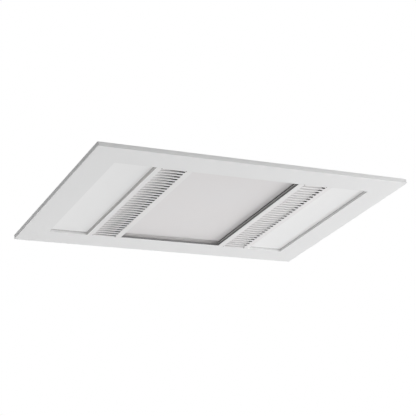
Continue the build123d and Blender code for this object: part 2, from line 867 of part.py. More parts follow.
# Motor: it stands on rubber grommets on top of the scroll, and its shaft hangs through.
casing_z = motor_z + motor_wall
bearing_top_z = motor_top_z - motor_wall
shaft_z0 = hub_z - 2 * nut_height
stator_radius = motor_radius - motor_wall
stator_bore = stator_radius - stator_radial_depth
stator_z = (casing_z + bearing_top_z - stator_height) / 2
with BuildPart() as motor_shaft:
    add_round(up(fan_x, fan_y, shaft_z0), shaft_radius, bearing_top_z - shaft_z0)
save(motor_shaft.part, "motor_shaft")

with BuildPart() as motor_rotor:
    rotor_radius = stator_bore - air_gap
    add_round(up(fan_x, fan_y, stator_z), rotor_radius, stator_height, bore=shaft_radius)
save(motor_rotor.part, "motor_rotor")

with BuildPart() as motor_stator:
    add_round(up(fan_x, fan_y, stator_z), stator_radius, stator_height, bore=stator_bore)
    winding_height = (stator_z - casing_z) / 2
    for winding_z in (stator_z - winding_height, stator_z + stator_height):
        add_round(
            up(fan_x, fan_y, winding_z),
            stator_radius - motor_wall,
            winding_height,
            bore=stator_bore + motor_wall,
        )
save(motor_stator.part, "motor_stator")

with BuildPart() as motor_casing:
    add_round(up(fan_x, fan_y, casing_z), motor_radius, motor_top_z - casing_z)
    cut_round(up(fan_x, fan_y, casing_z), stator_radius, bearing_top_z - casing_z)
    fillet(motor_casing.faces().sort_by(Axis.Z)[-1].edges(), motor_wall)
save(motor_casing.part, "motor_casing")

with BuildPart() as motor_end_plate:
    add_round(up(fan_x, fan_y, motor_z), motor_flange_radius, motor_wall)
    bearing_seat = bearing_radius + running_clearance
    with Locations((fan_x, fan_y, casing_z)):
        Hole(bearing_seat, depth=2 * motor_wall)
    with Locations(*[(x, y, casing_z) for x, y in motor_screw_places]):
        Hole(screw_radius + screw_clearance, depth=2 * motor_wall)
save(motor_end_plate.part, "motor_end_plate")

with BuildPart() as motor_bearings:
    bearing_bore = shaft_radius + running_clearance
    for bearing_z in (motor_z, bearing_top_z - bearing_height):
        add_round(up(fan_x, fan_y, bearing_z), bearing_radius, bearing_height, bore=bearing_bore)
save(motor_bearings.part, "motor_bearings")

with BuildPart() as motor_grommets:
    for x, y in motor_screw_places:
        grommet_bore = screw_radius + screw_clearance
        add_round(up(x, y, scroll_top_z), grommet_radius, grommet_height, bore=grommet_bore)
    fillet(motor_grommets.edges().filter_by(GeomType.CIRCLE).group_by(SortBy.RADIUS)[-1], grommet_height / 5)
save(motor_grommets.part, "motor_grommets")

with BuildPart() as motor_screws:
    for x, y in motor_screw_places:
        screw_length = motor_wall + grommet_height + 2 * scroll_wall
        add_screw(up(x, y, casing_z), screw_radius, screw_length, screw_head_radius, screw_head_height)
save(motor_screws.part, "motor_screws")

# Standoffs between the scroll and the top of the box, and the screws that come down into
# them and into the light's driver.
driver_z = ceiling_z - driver_height
ear_places = [(driver_x, driver_y + end * (driver_length + driver_ear) / 2) for end in (-1, 1)]
with BuildPart() as scroll_standoffs:
    for x, y in standoff_places:
        add_round(up(x, y, scroll_top_z), standoff_radius, ceiling_z - scroll_top_z)
    with Locations(*[(x, y, ceiling_z) for x, y in standoff_places]):
        Hole(screw_radius + running_clearance, depth=top_screw_length)
save(scroll_standoffs.part, "scroll_standoffs")

with BuildPart() as led_driver:
    add_block(
        (driver_x - driver_width / 2, driver_x + driver_width / 2),
        (driver_y - driver_length / 2, driver_y + driver_length / 2),
        (driver_z, ceiling_z),
    )
    fillet(led_driver.faces().sort_by(Axis.Z)[0].edges(), driver_ear_thickness / 2)
    for end in (-1, 1):
        add_block(
            (driver_x - driver_ear / 2, driver_x + driver_ear / 2),
            (driver_y + end * driver_length / 2, driver_y + end * (driver_length / 2 + driver_ear)),
            (ceiling_z - driver_ear_thickness, ceiling_z),
        )
    with Locations(*[(x, y, ceiling_z) for x, y in ear_places]):
        Hole(screw_radius + running_clearance, depth=2 * driver_ear_thickness)
save(led_driver.part, "led_driver")

with BuildPart() as top_screws:
    for x, y in standoff_places + ear_places:
        add_screw(
            up(x, y, box_top_z),
            screw_radius,
            top_screw_length,
            screw_head_radius,
            screw_head_height,
        )
save(top_screws.part, "top_screws")

# Housing box: folded sheet with a flange against the ceiling, slots for the clamp dogs, the
# duct's hole, and holes for screws and leads.
flange_hole_x = (flange_half_x + box_half_x) / 2
flange_hole_y = (flange_half_y + box_half_y) / 2
dog_slot_z0 = board_thickness - slot_clearance
dog_slot_z1 = board_thickness + dog_thickness + clamp_travel + slot_clearance
dog_slot_near_y = clamp_y + dog_width / 2 + slot_clearance
dog_tip_reach = sqrt(dog_reach**2 + (dog_width / 2) ** 2)
dog_sweep = sqrt(dog_tip_reach**2 - (wall_x - clamp_x) ** 2)
dog_slot_far_y = clamp_y - dog_sweep - slot_clearance
spigot_flange_half = spigot_radius + spigot_flange_margin
spigot_screw_offset = spigot_flange_half - spigot_screw_inset
spigot_screw_places = [
    (duct_x + column * spigot_screw_offset, duct_z + row * spigot_screw_offset)
    for column in (-1, 1)
    for row in (-1, 1)
]
with BuildPart() as housing_box:
    add_block((-box_half_x, box_half_x), (-box_half_y, box_half_y), (-sheet, box_top_z))
    add_block((-flange_half_x, flange_half_x), (-flange_half_y, flange_half_y), (-sheet, 0))
    cut_block((-wall_x, wall_x), (-wall_y, wall_y), (-sheet - overrun, ceiling_z))
    for side, end in corners:
        cut_block(
            (side * (wall_x - overrun), side * (box_half_x + overrun)),
            (end * dog_slot_far_y, end * dog_slot_near_y),
            (dog_slot_z0, dog_slot_z1),
        )
    with Locations((0, 0, 0)):
        with GridLocations(2 * flange_hole_x, 2 * flange_hole_y, 2, 2):
            Hole(flange_hole_radius, depth=2 * sheet)
    cut_round(along_y(duct_x, wall_y - overrun, duct_z), duct_bore_radius, sheet + 2 * overrun)
    for x, z in spigot_screw_places:
        cut_round(along_y(x, wall_y - overrun, z), screw_radius + screw_clearance, sheet + 2 * overrun)
    for column in (-1, 1):
        for row in (0, 1):
            hole_x = column * joist_hole_spacing / 2
            hole_z = joist_hole_height + row * joist_hole_rise
            cut_round(along_y(hole_x, -wall_y + overrun, hole_z, -1), joist_hole_radius, sheet + 2 * overrun)
    with Locations(*[(x, y, box_top_z) for x, y in standoff_places + ear_places]):
        Hole(screw_radius + screw_clearance, depth=2 * sheet)
    with Locations((terminal_x, terminal_y, box_top_z)):
        Hole(lead_hole_radius, depth=2 * sheet)
save(housing_box.part, "housing_box")

# Duct spigot: a flanged collar outside the box's far wall, with a stop ring inside it that
# the damper flaps rest on, and holes for their pin.
with BuildPart() as duct_spigot:
    with BuildSketch(along_y(duct_x, box_half_y, duct_z)):
        Rectangle(2 * spigot_flange_half, 2 * spigot_flange_half)
        Circle(duct_bore_radius, mode=Mode.SUBTRACT)
    extrude(amount=spigot_wall)
    add_round(along_y(duct_x, box_half_y, duct_z), spigot_radius, spigot_length, bore=duct_bore_radius)
    stop_y = damper_y - flap_thickness / 2 - flap_relief - stop_thickness
    add_round(
        along_y(duct_x, stop_y, duct_z),
        duct_bore_radius + spigot_wall / 2,
        stop_thickness,
        bore=duct_bore_radius - stop_height,
    )
    pin_hole = up(duct_x, damper_y, duct_z - spigot_radius - overrun)
    cut_round(pin_hole, damper_pin_radius + running_clearance, 2 * (spigot_radius + overrun))
    for x, z in spigot_screw_places:
        screw_hole = along_y(x, box_half_y - overrun, z)
        cut_round(screw_hole, screw_radius + running_clearance, spigot_wall + 2 * overrun)
save(duct_spigot.part, "duct_spigot")

with BuildPart() as spigot_screws:
    for x, z in spigot_screw_places:
        add_screw(
            along_y(x, box_half_y + spigot_wall, z),
            screw_radius,
            spigot_screw_length,
            screw_head_radius,
            screw_head_height,
        )
save(spigot_screws.part, "spigot_screws")

with BuildPart() as damper_pin:
    pin_half = duct_bore_radius + spigot_wall / 2
    add_round(up(duct_x, damper_y, duct_z - pin_half), damper_pin_radius, 2 * pin_half)
save(damper_pin.part, "damper_pin")

# Damper flaps: two half discs whose knuckles share the upright pin in turn.
flap_radius = duct_bore_radius - flap_clearance
knuckle_half = duct_bore_radius - knuckle_end_gap
knuckle_height = 2 * knuckle_half / knuckle_count
for side, side_name in sides:
    own_knuckles = [step for step in range(knuckle_count) if (step % 2 == 0) == (side == 1)]
    with BuildPart() as damper_flap:
        with BuildSketch(along_y(duct_x, damper_y - flap_thickness / 2, duct_z)) as flap_face:
            Circle(flap_radius)
            with Locations((-side * flap_radius, 0)):
                Rectangle(2 * flap_radius, 2 * flap_radius, mode=Mode.SUBTRACT)
        extrude(flap_face.sketch, amount=flap_thickness)
        relief_x = duct_x + side * (knuckle_radius + flap_relief)
        cut_block(
            (duct_x - side * overrun, relief_x),
            (damper_y - flap_thickness, damper_y + flap_thickness),
            (duct_z - flap_radius - overrun, duct_z + flap_radius + overrun),
        )
        for step in own_knuckles:
            low_z = duct_z - knuckle_half + step * knuckle_height + knuckle_gap / 2
            add_round(up(duct_x, damper_y, low_z), knuckle_radius, knuckle_height - knuckle_gap)
            add_block(
                (duct_x, relief_x),
                (damper_y - flap_thickness / 2, damper_y + flap_thickness / 2),
                (low_z, low_z + knuckle_height - knuckle_gap),
            )
        pin_clearance = damper_pin_radius + running_clearance
        cut_round(up(duct_x, damper_y, duct_z - flap_radius), pin_clearance, 2 * flap_radius)
    save(damper_flap.part, f"damper_flap_{side_name}")

# Terminal box on top of the housing, with its cover, block and cable gland.
post_places = [
    (
        terminal_x + side * (terminal_length / 2 - terminal_wall - terminal_post / 2),
        terminal_y + side * (terminal_width / 2 - terminal_wall - terminal_post / 2),
    )
    for side in (-1, 1)
]
terminal_top_z = box_top_z + terminal_height
gland_y = terminal_y - terminal_width / 2
gland_z = box_top_z + gland_rise
with BuildPart() as terminal_box:
    with BuildSketch(up(terminal_x, terminal_y, box_top_z)):
        RectangleRounded(terminal_length, terminal_width, terminal_wall)
    extrude(amount=terminal_height)
    inner_x = terminal_length / 2 - terminal_wall
    inner_y = terminal_width / 2 - terminal_wall
    cut_block(
        (terminal_x - inner_x, terminal_x + inner_x),
        (terminal_y - inner_y, terminal_y + inner_y),
        (box_top_z + terminal_wall, terminal_top_z + overrun),
    )
    for x, y in post_places:
        post_xs = (x - terminal_post / 2, x + terminal_post / 2)
        post_ys = (y - terminal_post / 2, y + terminal_post / 2)
        add_block(post_xs, post_ys, (box_top_z + terminal_wall, terminal_top_z))
    with Locations(*[(x, y, terminal_top_z) for x, y in post_places]):
        Hole(screw_radius + running_clearance, depth=cover_screw_length)
    with Locations((terminal_x, terminal_y, box_top_z + terminal_wall)):
        Hole(lead_hole_radius, depth=2 * terminal_wall)
    gland_hole = along_y(terminal_x, gland_y - overrun, gland_z)
    cut_round(gland_hole, gland_radius + running_clearance, terminal_wall + 2 * overrun)
save(terminal_box.part, "terminal_box")

with BuildPart() as terminal_cover:
    with BuildSketch(up(terminal_x, terminal_y, terminal_top_z)):
        RectangleRounded(terminal_length, terminal_width, terminal_wall)
    extrude(amount=cover_thickness)
    fillet(terminal_cover.faces().sort_by(Axis.Z)[-1].edges(), cover_thickness / 3)
    with Locations(*[(x, y, terminal_top_z + cover_thickness) for x, y in post_places]):
        Hole(screw_radius + screw_clearance, depth=2 * cover_thickness)
save(terminal_cover.part, "terminal_cover")

with BuildPart() as terminal_cover_screws:
    for x, y in post_places:
        add_screw(
            up(x, y, terminal_top_z + cover_thickness),
            screw_radius,
            cover_screw_length,
            screw_head_radius,
            screw_head_height,
        )
save(terminal_cover_screws.part, "terminal_cover_screws")

with BuildPart() as terminal_block:
    block_y = terminal_y + lead_hole_radius + fit_gap + block_width / 2
    block_z = box_top_z + terminal_wall
    add_block(
        (terminal_x - block_length / 2, terminal_x + block_length / 2),
        (block_y - block_width / 2, block_y + block_width / 2),
        (block_z, block_z + block_height),
    )
    way_pitch = block_length / block_ways
    with Locations((terminal_x, block_y, block_z + block_height)):
        with GridLocations(way_pitch, block_width / 2, block_ways, 2):
            Hole(block_screw_radius, depth=block_screw_depth)
save(terminal_block.part, "terminal_block")

with BuildPart() as cable_gland:
    inner_end_y = gland_y + terminal_wall + gland_nut_length
    outer_end_y = inner_end_y - gland_length - terminal_wall
    add_round(along_y(terminal_x, outer_end_y, gland_z), gland_radius, inner_end_y - outer_end_y)
    for nut_y in (gland_y + terminal_wall, gland_y - gland_nut_length, outer_end_y):
        with BuildSketch(along_y(terminal_x, nut_y, gland_z)) as nut:
            RegularPolygon(gland_nut_radius, 6)
        extrude(nut.sketch, amount=gland_nut_length)
    throat_start = along_y(terminal_x, outer_end_y - overrun, gland_z)
    cut_round(throat_start, gland_throat_radius, overrun + gland_length)
    inner_start = along_y(terminal_x, outer_end_y + gland_throat_length, gland_z)
    cut_round(inner_start, gland_inner_radius, gland_length)
save(cable_gland.part, "cable_gland")

# Internal leads: from the terminal box down through the top of the housing to the two
# thermal cut-outs, the motor and the light's driver, and from there down to the light.
tab_reach = cutout_radius / 2
cutout_lead_z = can_top_z + cutout_height + cutout_radius / 4 + lead_end_gap
lead_top_z = box_top_z + terminal_wall + block_height / 2
lead_turn_z = ceiling_z - lead_drop
lead_run_z = ceiling_z - lead_ceiling_gap
lead_back_y = lead_back_gap - wall_y
lead_bend_share = 0.45
lead_side_x = (can_inner_x + scroll_half_x) / 2
lead_mid_z = (scroll_top_z + ceiling_z) / 2
motor_side_x = fan_x + motor_radius
driver_face_x = driver_x + driver_width / 2
driver_face_y = driver_y - driver_length / 2


def lead_start(column, row):
    """The first two points of a lead, which drops through the hole under the terminal box."""
    x = terminal_x + column * lead_spread
    y = terminal_y + row * lead_spread
    return [(x, y, lead_top_z), (x, y, lead_turn_z)]


def bend_radii(points):
    """For each corner of a route, the widest bend that its two runs leave room for."""
    radii = []
    for before, corner, after in zip(points, points[1:], points[2:]):
        run_in = Vector(*corner) - Vector(*before)
        run_out = Vector(*after) - Vector(*corner)
        half_turn = radians(run_in.get_angle(run_out) / 2)
        radii.append(lead_bend_share * min(run_in.length, run_out.length) / tan(half_turn))
    return radii


right_heater_route = lead_start(1, 1) + [
    (heater_x + tab_reach, terminal_y / 2, (lead_turn_z + can_top_z) / 2),
    (heater_x + tab_reach, 0, can_top_z + 2 * lead_drop),
    (heater_x + tab_reach, 0, cutout_lead_z),
]
left_heater_route = lead_start(-1, -1) + [
    (scroll_half_x, lead_back_y + lead_drop, lead_mid_z),
    (0, lead_back_y + lead_drop / 2, lead_mid_z),
    (-scroll_half_x, lead_back_y + lead_drop, lead_mid_z),
    (tab_reach - heater_x, terminal_y / 2, (lead_mid_z + can_top_z + lead_drop) / 2),
    (tab_reach - heater_x, 0, can_top_z + 2 * lead_drop),
    (tab_reach - heater_x, 0, cutout_lead_z),
]
motor_route = lead_start(-1, 1) + [
    (scroll_half_x, terminal_y + lead_spread, lead_mid_z),
    (motor_side_x + lead_drop, fan_y - lead_spread, (casing_z + bearing_top_z) / 2),
    (motor_side_x + lead_end_gap, fan_y, (casing_z + bearing_top_z) / 2),
]
driver_route = lead_start(1, -1) + [
    (scroll_half_x, lead_back_y, lead_run_z),
    (-scroll_half_x, lead_back_y, lead_run_z),
    (driver_face_x - driver_width / 4, driver_face_y - 2 * lead_drop, driver_z + driver_height / 2),
    (driver_face_x - driver_width / 4, driver_face_y - lead_end_gap, driver_z + driver_height / 2),
]
light_route = [
    (driver_face_x + lead_end_gap, driver_y, driver_z + driver_height / 4),
    (driver_face_x + lead_drop, driver_y, driver_z + driver_height / 4),
    (-lead_side_x, driver_y, scroll_top_z - lead_drop),
    (-lead_side_x, driver_y / 2, scroll_z),
    (-bezel_half_x, driver_y / 4, light_top_z + 2 * lead_radius),
    (lead_drop - bezel_half_x, 0, light_top_z + lead_radius + lead_end_gap),
]
with BuildPart() as internal_leads:
    for route in (right_heater_route, left_heater_route, motor_route, driver_route, light_route):
        radii = bend_radii(route)
        print("lead bends", [round(radius, 1) for radius in radii])
        with BuildLine() as path:
            FilletPolyline(*route, radius=radii)
        with BuildSketch(Plane(origin=path.line @ 0, z_dir=path.line % 0)) as section:
            Circle(lead_radius)
        sweep(section.sketch, path=path.line)
save(internal_leads.part, "internal_leads")

# Ceiling clamps: in each corner a bracket with two tabs, a long screw through them, and a
# dog on its thread that swings out over the ceiling board and is drawn down on it.
clamp_screw_top_z = clamp_top_tab_z + bracket_sheet + clamp_screw_overhang
with BuildPart() as clamp_brackets:
    for side, end in corners:
        outer_x = side * (wall_x - screw_clearance)
        inner_x = side * (wall_x - clamp_bracket_width)
        back_y = end * wall_y
        front_y = end * (wall_y - clamp_tab_depth)
        web_ys = (back_y, end * (wall_y - bracket_sheet))
        add_block((outer_x, inner_x), web_ys, (clamp_tab_rise, clamp_top_tab_z + bracket_sheet))
        for tab_z in (clamp_tab_rise, clamp_top_tab_z):
            add_block((outer_x, inner_x), (back_y, front_y), (tab_z, tab_z + bracket_sheet))
        shaft_hole = up(side * clamp_x, end * clamp_y, 0)
        cut_round(shaft_hole, clamp_screw_radius + running_clearance, clamp_screw_top_z)
save(clamp_brackets.part, "clamp_brackets")

for number, (side, end) in enumerate(corners, start=1):
    with BuildPart() as clamp_screw:
        head_z = clamp_tab_rise - screw_clearance
        add_round(down(side * clamp_x, end * clamp_y, head_z), clamp_head_radius, clamp_head_height)
        fillet(clamp_screw.faces().sort_by(Axis.Z)[0].edges(), clamp_head_height / 4)
        recess_z = head_z - clamp_head_height + head_slot_depth
        with BuildSketch(down(side * clamp_x, end * clamp_y, recess_z)) as recess:
            Rectangle(2 * clamp_head_radius, head_slot_width)
            Rectangle(head_slot_width, 2 * clamp_head_radius)
            Circle(clamp_head_radius * 2 / 3, mode=Mode.INTERSECT)
        extrude(recess.sketch, amount=head_slot_depth + overrun, mode=Mode.SUBTRACT)
        add_round(up(side * clamp_x, end * clamp_y, head_z), clamp_screw_radius, clamp_screw_top_z - head_z)
    save(clamp_screw.part, f"clamp_screw_{number}")

    with BuildPart() as clamp_dog:
        add_round(up(side * clamp_x, end * clamp_y, board_thickness), dog_hub_radius, dog_thickness)
        add_block(
            (side * clamp_x, side * (clamp_x + dog_reach)),
            (end * clamp_y - dog_width / 2, end * clamp_y + dog_width / 2),
            (board_thickness, board_thickness + dog_thickness),
        )
        tip_edges = clamp_dog.faces().sort_by(Axis.X)[-1 if side == 1 else 0].edges().filter_by(Axis.Y)
        chamfer(tip_edges.sort_by(Axis.Z)[-1], dog_tip)
        dog_bore = up(side * clamp_x, end * clamp_y, board_thickness - overrun)
        cut_round(dog_bore, clamp_screw_radius + running_clearance, dog_thickness + 2 * overrun)
    save(clamp_dog.part, f"clamp_dog_{number}")
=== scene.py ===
# %% [markdown]
# # A bathroom ceiling heater, dressed in Blender
# The real object is a flat white plate under a bathroom ceiling, with two heater windows, two
# slotted air grilles and a light panel, and a galvanised box above it that nobody sees once it
# is up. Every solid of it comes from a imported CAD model. This lesson gives the solids their
# finishes, adds the small pressed and riveted details of the box, and lights and frames it all.
# Blender counts in metres. X runs along the plate, Y across it towards the duct, Z up, and zero
# is the underside of the ceiling board. The details are small, so their sizes are written in
# millimetres, and one helper gives the corners of any CAD node in millimetres too.

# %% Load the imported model
import json
import math

import bmesh
import bpy
from mathutils import Matrix, Vector


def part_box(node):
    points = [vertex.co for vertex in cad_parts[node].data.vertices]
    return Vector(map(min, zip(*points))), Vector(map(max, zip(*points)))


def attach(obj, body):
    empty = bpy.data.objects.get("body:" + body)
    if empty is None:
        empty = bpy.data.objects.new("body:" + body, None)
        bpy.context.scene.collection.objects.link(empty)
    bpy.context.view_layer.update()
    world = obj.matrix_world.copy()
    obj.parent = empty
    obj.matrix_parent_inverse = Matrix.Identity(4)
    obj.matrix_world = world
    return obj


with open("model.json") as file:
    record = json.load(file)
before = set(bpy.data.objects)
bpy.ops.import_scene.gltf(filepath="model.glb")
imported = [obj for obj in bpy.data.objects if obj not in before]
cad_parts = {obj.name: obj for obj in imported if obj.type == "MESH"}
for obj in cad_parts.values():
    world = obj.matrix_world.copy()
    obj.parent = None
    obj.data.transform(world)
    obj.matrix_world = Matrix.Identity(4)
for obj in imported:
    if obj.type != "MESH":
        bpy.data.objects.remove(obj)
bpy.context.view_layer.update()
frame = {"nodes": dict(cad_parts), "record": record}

mm = 0.001
micron = 0.000001
scene = bpy.context.scene


def corners_in_mm(node_name):
    """The lowest and the highest corner of a CAD node, to a tenth of a millimetre."""
    return [Vector(round(v / mm, 1) for v in corner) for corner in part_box(node_name)]


# %% [markdown]
# ## The camera
# The photograph looks up at the plate from its near left corner, about 21 degrees below the
# ceiling. A camera could be aimed by eye with a target and a roll, but its place and its axes
# were worked out from the plate's four corners, so they are written down as they were found.

# %% Place the camera
photo_pixels = 416
focal_pixels = 1212.1
sensor_width = 36.0
camera_place = Vector((-0.896, -1.695, -0.7522))
camera_right = Vector((0.89515, -0.43777, -0.08401)).normalized()
camera_forward = Vector((0.43649, 0.82241, 0.36496)).normalized()
camera_up = camera_right.cross(camera_forward)

camera = bpy.data.objects.new("camera", bpy.data.cameras.new("camera"))
scene.collection.objects.link(camera)
camera.data.sensor_width = sensor_width
camera.data.lens = focal_pixels * sensor_width / photo_pixels
camera_axes = Matrix((camera_right, camera_up, -camera_forward)).transposed()
camera.matrix_world = Matrix.Translation(camera_place) @ camera_axes.to_4x4()
scene.camera = camera
print("lens", round(camera.data.lens, 1), "mm")

# %% [markdown]
# ## What is seen and what gives light
# The photograph shows the plate on pure white. More light would make the background white, but
# the plate as well. So the camera, mirrors and glass meet plain white, and all other rays meet
# whatever lights the plate as the room did. A Light Path node tells the rays apart, and a few
# helpers wire up such a choice for the stage and the sky.

# %% Helpers that tell rays apart
scene.view_settings.view_transform = "Standard"
white = (1, 1, 1, 1)


def maths(tree, operation, first, second=0.0):
    """The result of a Math node on two sockets or numbers."""
    node = tree.nodes.new("ShaderNodeMath")
    node.operation = operation
    for index, value in enumerate((first, second)):
        if isinstance(value, (int, float)):
            node.inputs[index].default_value = value
        else:
            tree.links.new(value, node.inputs[index])
    return node.outputs[0]


def mix_shaders(tree, share, first, second):
    """The first shader where the share is 0, and the second where it is 1."""
    node = tree.nodes.new("ShaderNodeMixShader")
    for index, value in enumerate((share, first, second)):
        tree.links.new(value, node.inputs[index])
    return node.outputs[0]


def seen_share(tree, ray):
    """1 for a ray from the camera, a mirror or glass, and 0 for all others."""
    seen = maths(tree, "MAXIMUM", ray["Is Camera Ray"], ray["Is Glossy Ray"])
    return maths(tree, "MAXIMUM", seen, ray["Is Transmission Ray"])


print("the view transform is", scene.view_settings.view_transform)

# %% [markdown]
# ## The finish of the stage
# The rays that light the object meet a matt grey, which takes shadows and gives soft light
# back. Hiding the ceiling would be the simplest way to look down on the box from above, but
# then the room's lamps would reach the box. So the finish is one-sided instead: the camera sees
# through its back, and for all other rays it is still there.

# %% Make the finish of the stage


def stage_finish(name, grey):
    """A matt grey that looks plain white, and that the camera sees through from behind."""
    made = bpy.data.materials.new(name)
    made.use_nodes = True
    tree = made.node_tree
    tree.nodes.clear()
    matt = tree.nodes.new("ShaderNodeBsdfDiffuse")
    matt.inputs["Color"].default_value = (grey, grey, grey, 1)
    plain = tree.nodes.new("ShaderNodeEmission")
    plain.inputs["Color"].default_value = white
    clear = tree.nodes.new("ShaderNodeBsdfTransparent")
    ray = tree.nodes.new("ShaderNodeLightPath").outputs
    surface = tree.nodes.new("ShaderNodeNewGeometry").outputs
    front = mix_shaders(tree, seen_share(tree, ray), matt.outputs[0], plain.outputs[0])
    seen_through = maths(tree, "MULTIPLY", surface["Backfacing"], ray["Is Camera Ray"])
    both_sides = mix_shaders(tree, seen_through, front, clear.outputs[0])
    output = tree.nodes.new("ShaderNodeOutputMaterial")
    tree.links.new(both_sides, output.inputs["Surface"])
    return made


ceiling_finish = stage_finish("ceiling_white", grey=0.5)
floor_finish = stage_finish("floor_white", grey=0.8)
print("stage finishes:", ceiling_finish.name, "and", floor_finish.name)

# %% [markdown]
# ## The ceiling and the floor
# In a real bathroom the board hides the box from below and throws some light back on the
# plate's rim. A plane with a boolean cut would do, but eight points round the plate's outline
# give a clean cut-out at once. The board lies a hair below zero, so that it doesn't coincide
# with the flange of the box, which rests on it. The floor is a plain square far below.

# %% Build the ceiling and the floor
square_corners = ((-1, -1), (1, -1), (1, 1), (-1, 1))
stage_half = 3.0
board_height = -0.2 * mm
floor_height = -2.4
plate_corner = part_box("fascia_frame")[1]


def stage_sheet(name, height, finish, hole=None, facing_down=False):
    """A square sheet, with a rectangular hole where the hole's half sizes are given."""
    shell = bmesh.new()
    outer = [shell.verts.new((x * stage_half, y * stage_half, height)) for x, y in square_corners]
    if hole:
        inner = [shell.verts.new((x * hole[0], y * hole[1], height)) for x, y in square_corners]
        for here in range(4):
            after = (here + 1) % 4
            shell.faces.new((outer[here], outer[after], inner[after], inner[here]))
    else:
        shell.faces.new(outer)
    if facing_down:
        bmesh.ops.reverse_faces(shell, faces=shell.faces)
    data = bpy.data.meshes.new(name)
    shell.to_mesh(data)
    shell.free()
    data.materials.append(finish)
    sheet = bpy.data.objects.new(name, data)
    scene.collection.objects.link(sheet)
    return sheet


cut_out = (plate_corner.x, plate_corner.y)
ceiling_board = stage_sheet("ceiling_board", board_height, ceiling_finish, cut_out, facing_down=True)
floor_sheet = stage_sheet("floor_sheet", floor_height, floor_finish)
print("stage:", ceiling_board.name, "and", floor_sheet.name)

# %% [markdown]
# ## The sky
# In the photograph the underside is light, the faces towards the viewer are nearly as light,
# and the faces to the left are in shade, so the room is bright below, to the right and on the
# viewer's side. A plain sky of one level would light every side alike. This one gets brighter
# towards the viewer, and is plain white where it is seen or mirrored.

# %% Build the sky
sky_least = 0.115
sky_slope = (0.0, -0.64, 0.0)

world = bpy.data.worlds.new("white_world")
scene.world = world
world.use_nodes = True
sky_tree = world.node_tree
sky_tree.nodes.clear()
direction = sky_tree.nodes.new("ShaderNodeTexCoord")
towards_viewer = sky_tree.nodes.new("ShaderNodeVectorMath")
towards_viewer.operation = "DOT_PRODUCT"
towards_viewer.inputs[1].default_value = sky_slope
sky_tree.links.new(direction.outputs["Generated"], towards_viewer.inputs[0])
sloping_level = maths(sky_tree, "ADD", towards_viewer.outputs["Value"], sky_least)
sky_level = maths(sky_tree, "MAXIMUM", sloping_level, sky_least)

light_sky = sky_tree.nodes.new("ShaderNodeBackground")
seen_sky = sky_tree.nodes.new("ShaderNodeBackground")
for sky in (light_sky, seen_sky):
    sky.inputs["Color"].default_value = white
sky_tree.links.new(sky_level, light_sky.inputs["Strength"])
sky_seen = seen_share(sky_tree, sky_tree.nodes.new("ShaderNodeLightPath").outputs)
whole_sky = mix_shaders(sky_tree, sky_seen, light_sky.outputs[0], seen_sky.outputs[0])
sky_output = sky_tree.nodes.new("ShaderNodeOutputWorld")
sky_tree.links.new(whole_sky, sky_output.inputs["Surface"])
print("the sky has", len(sky_tree.nodes), "nodes")

# %% [markdown]
# ## The lamps
# A large soft lamp shines up from the floor, a little to the left, and two lamps low on the
# right give the steps in the plate their shadows. Two larger ones above the ceiling light only
# the box. Suns and point lamps would draw hard edges that the photograph doesn't have, so all
# of them are square area lamps.

# %% Hang the lamps
plate_middle = (0, 0, 0)
box_middle = (0, 0, 0.1)


def hang_lamp(name, place, target, size, watts):
    """A square area lamp at a place, turned towards a target."""
    lamp = bpy.data.objects.new(name, bpy.data.lights.new(name, "AREA"))
    scene.collection.objects.link(lamp)
    lamp.data.size = size
    lamp.data.energy = watts
    aim = (Vector(target) - Vector(place)).to_track_quat("-Z", "Y")
    lamp.matrix_world = Matrix.Translation(place) @ aim.to_matrix().to_4x4()
    print("lamp", name, watts, "W")


hang_lamp("floor_lamp", (-0.35, 0.3, -1.8), plate_middle, size=1.0, watts=13.9)
hang_lamp("low_lamp", (1.282, -0.898, -0.333), plate_middle, size=0.7, watts=11.0)
hang_lamp("right_lamp", (1.207, 0.213, -1.028), plate_middle, size=0.7, watts=5.8)
hang_lamp("upper_left_lamp", (-1.3, -1.3, 1.7), box_middle, size=2.8, watts=20.0)
hang_lamp("upper_back_lamp", (1.1, 1.5, 1.5), box_middle, size=2.8, watts=20.0)

# %% [markdown]
# ## How a finish is made
# A finish is one material with a Principled shader. Whatever is the same all over a surface is
# typed into the shader's own sockets. Whatever changes from place to place comes from textures
# on the object's own coordinates, so it stays with the piece from every side. Pictures could be
# wrapped round instead, but node textures need no files and stay sharp at any distance. The
# first helpers start a finish and add nodes to it.

# %% Helpers that build a finish
finishes = {}


def shader_of(made):
    """The Principled shader of a finish."""
    return made.node_tree.nodes["Principled BSDF"]


def join(made, output, target):
    """A link from one node's output to another's input."""
    made.node_tree.links.new(output, target)


def set_inputs(node, values):
    """A node's inputs set by name, with underscores for spaces."""
    for name, value in values.items():
        node.inputs[name.replace("_", " ")].default_value = value


def start_finish(slot, colour, roughness, **values):
    """A new finish for a slot of the record, with any other inputs of its shader."""
    made = bpy.data.materials.new(slot)
    made.use_nodes = True
    set_inputs(shader_of(made), {"Base Color": (*colour, 1), "Roughness": roughness, **values})
    finishes[slot] = made
    return made


def add_node(made, kind, **values):
    """A node of a kind, with some of its inputs set."""
    node = made.node_tree.nodes.new(kind)
    set_inputs(node, values)
    return node


def add_on_object(made, kind, stretch=(1, 1, 1), **values):
    """A node on the object's own coordinates. A small number in stretch draws it out there."""
    where = add_node(made, "ShaderNodeTexCoord")
    mapping = add_node(made, "ShaderNodeMapping", Scale=stretch)
    node = add_node(made, kind, **values)
    join(made, where.outputs["Object"], mapping.inputs["Vector"])
    join(made, mapping.outputs["Vector"], node.inputs["Vector"])
    return node


print("ready to build finishes")

# %% [markdown]
# ## What a pattern does to a surface
# Real surfaces are mottled in tone, worn unevenly and finely grained. Most of that is a cloud
# of noise at the right scale, which can drive three things: the colour, the roughness, and a
# relief of a few thousandths of a millimetre that only bends the light. A helper for each keeps
# every later finish down to a few lines.

# %% Helpers for colour, gloss and relief


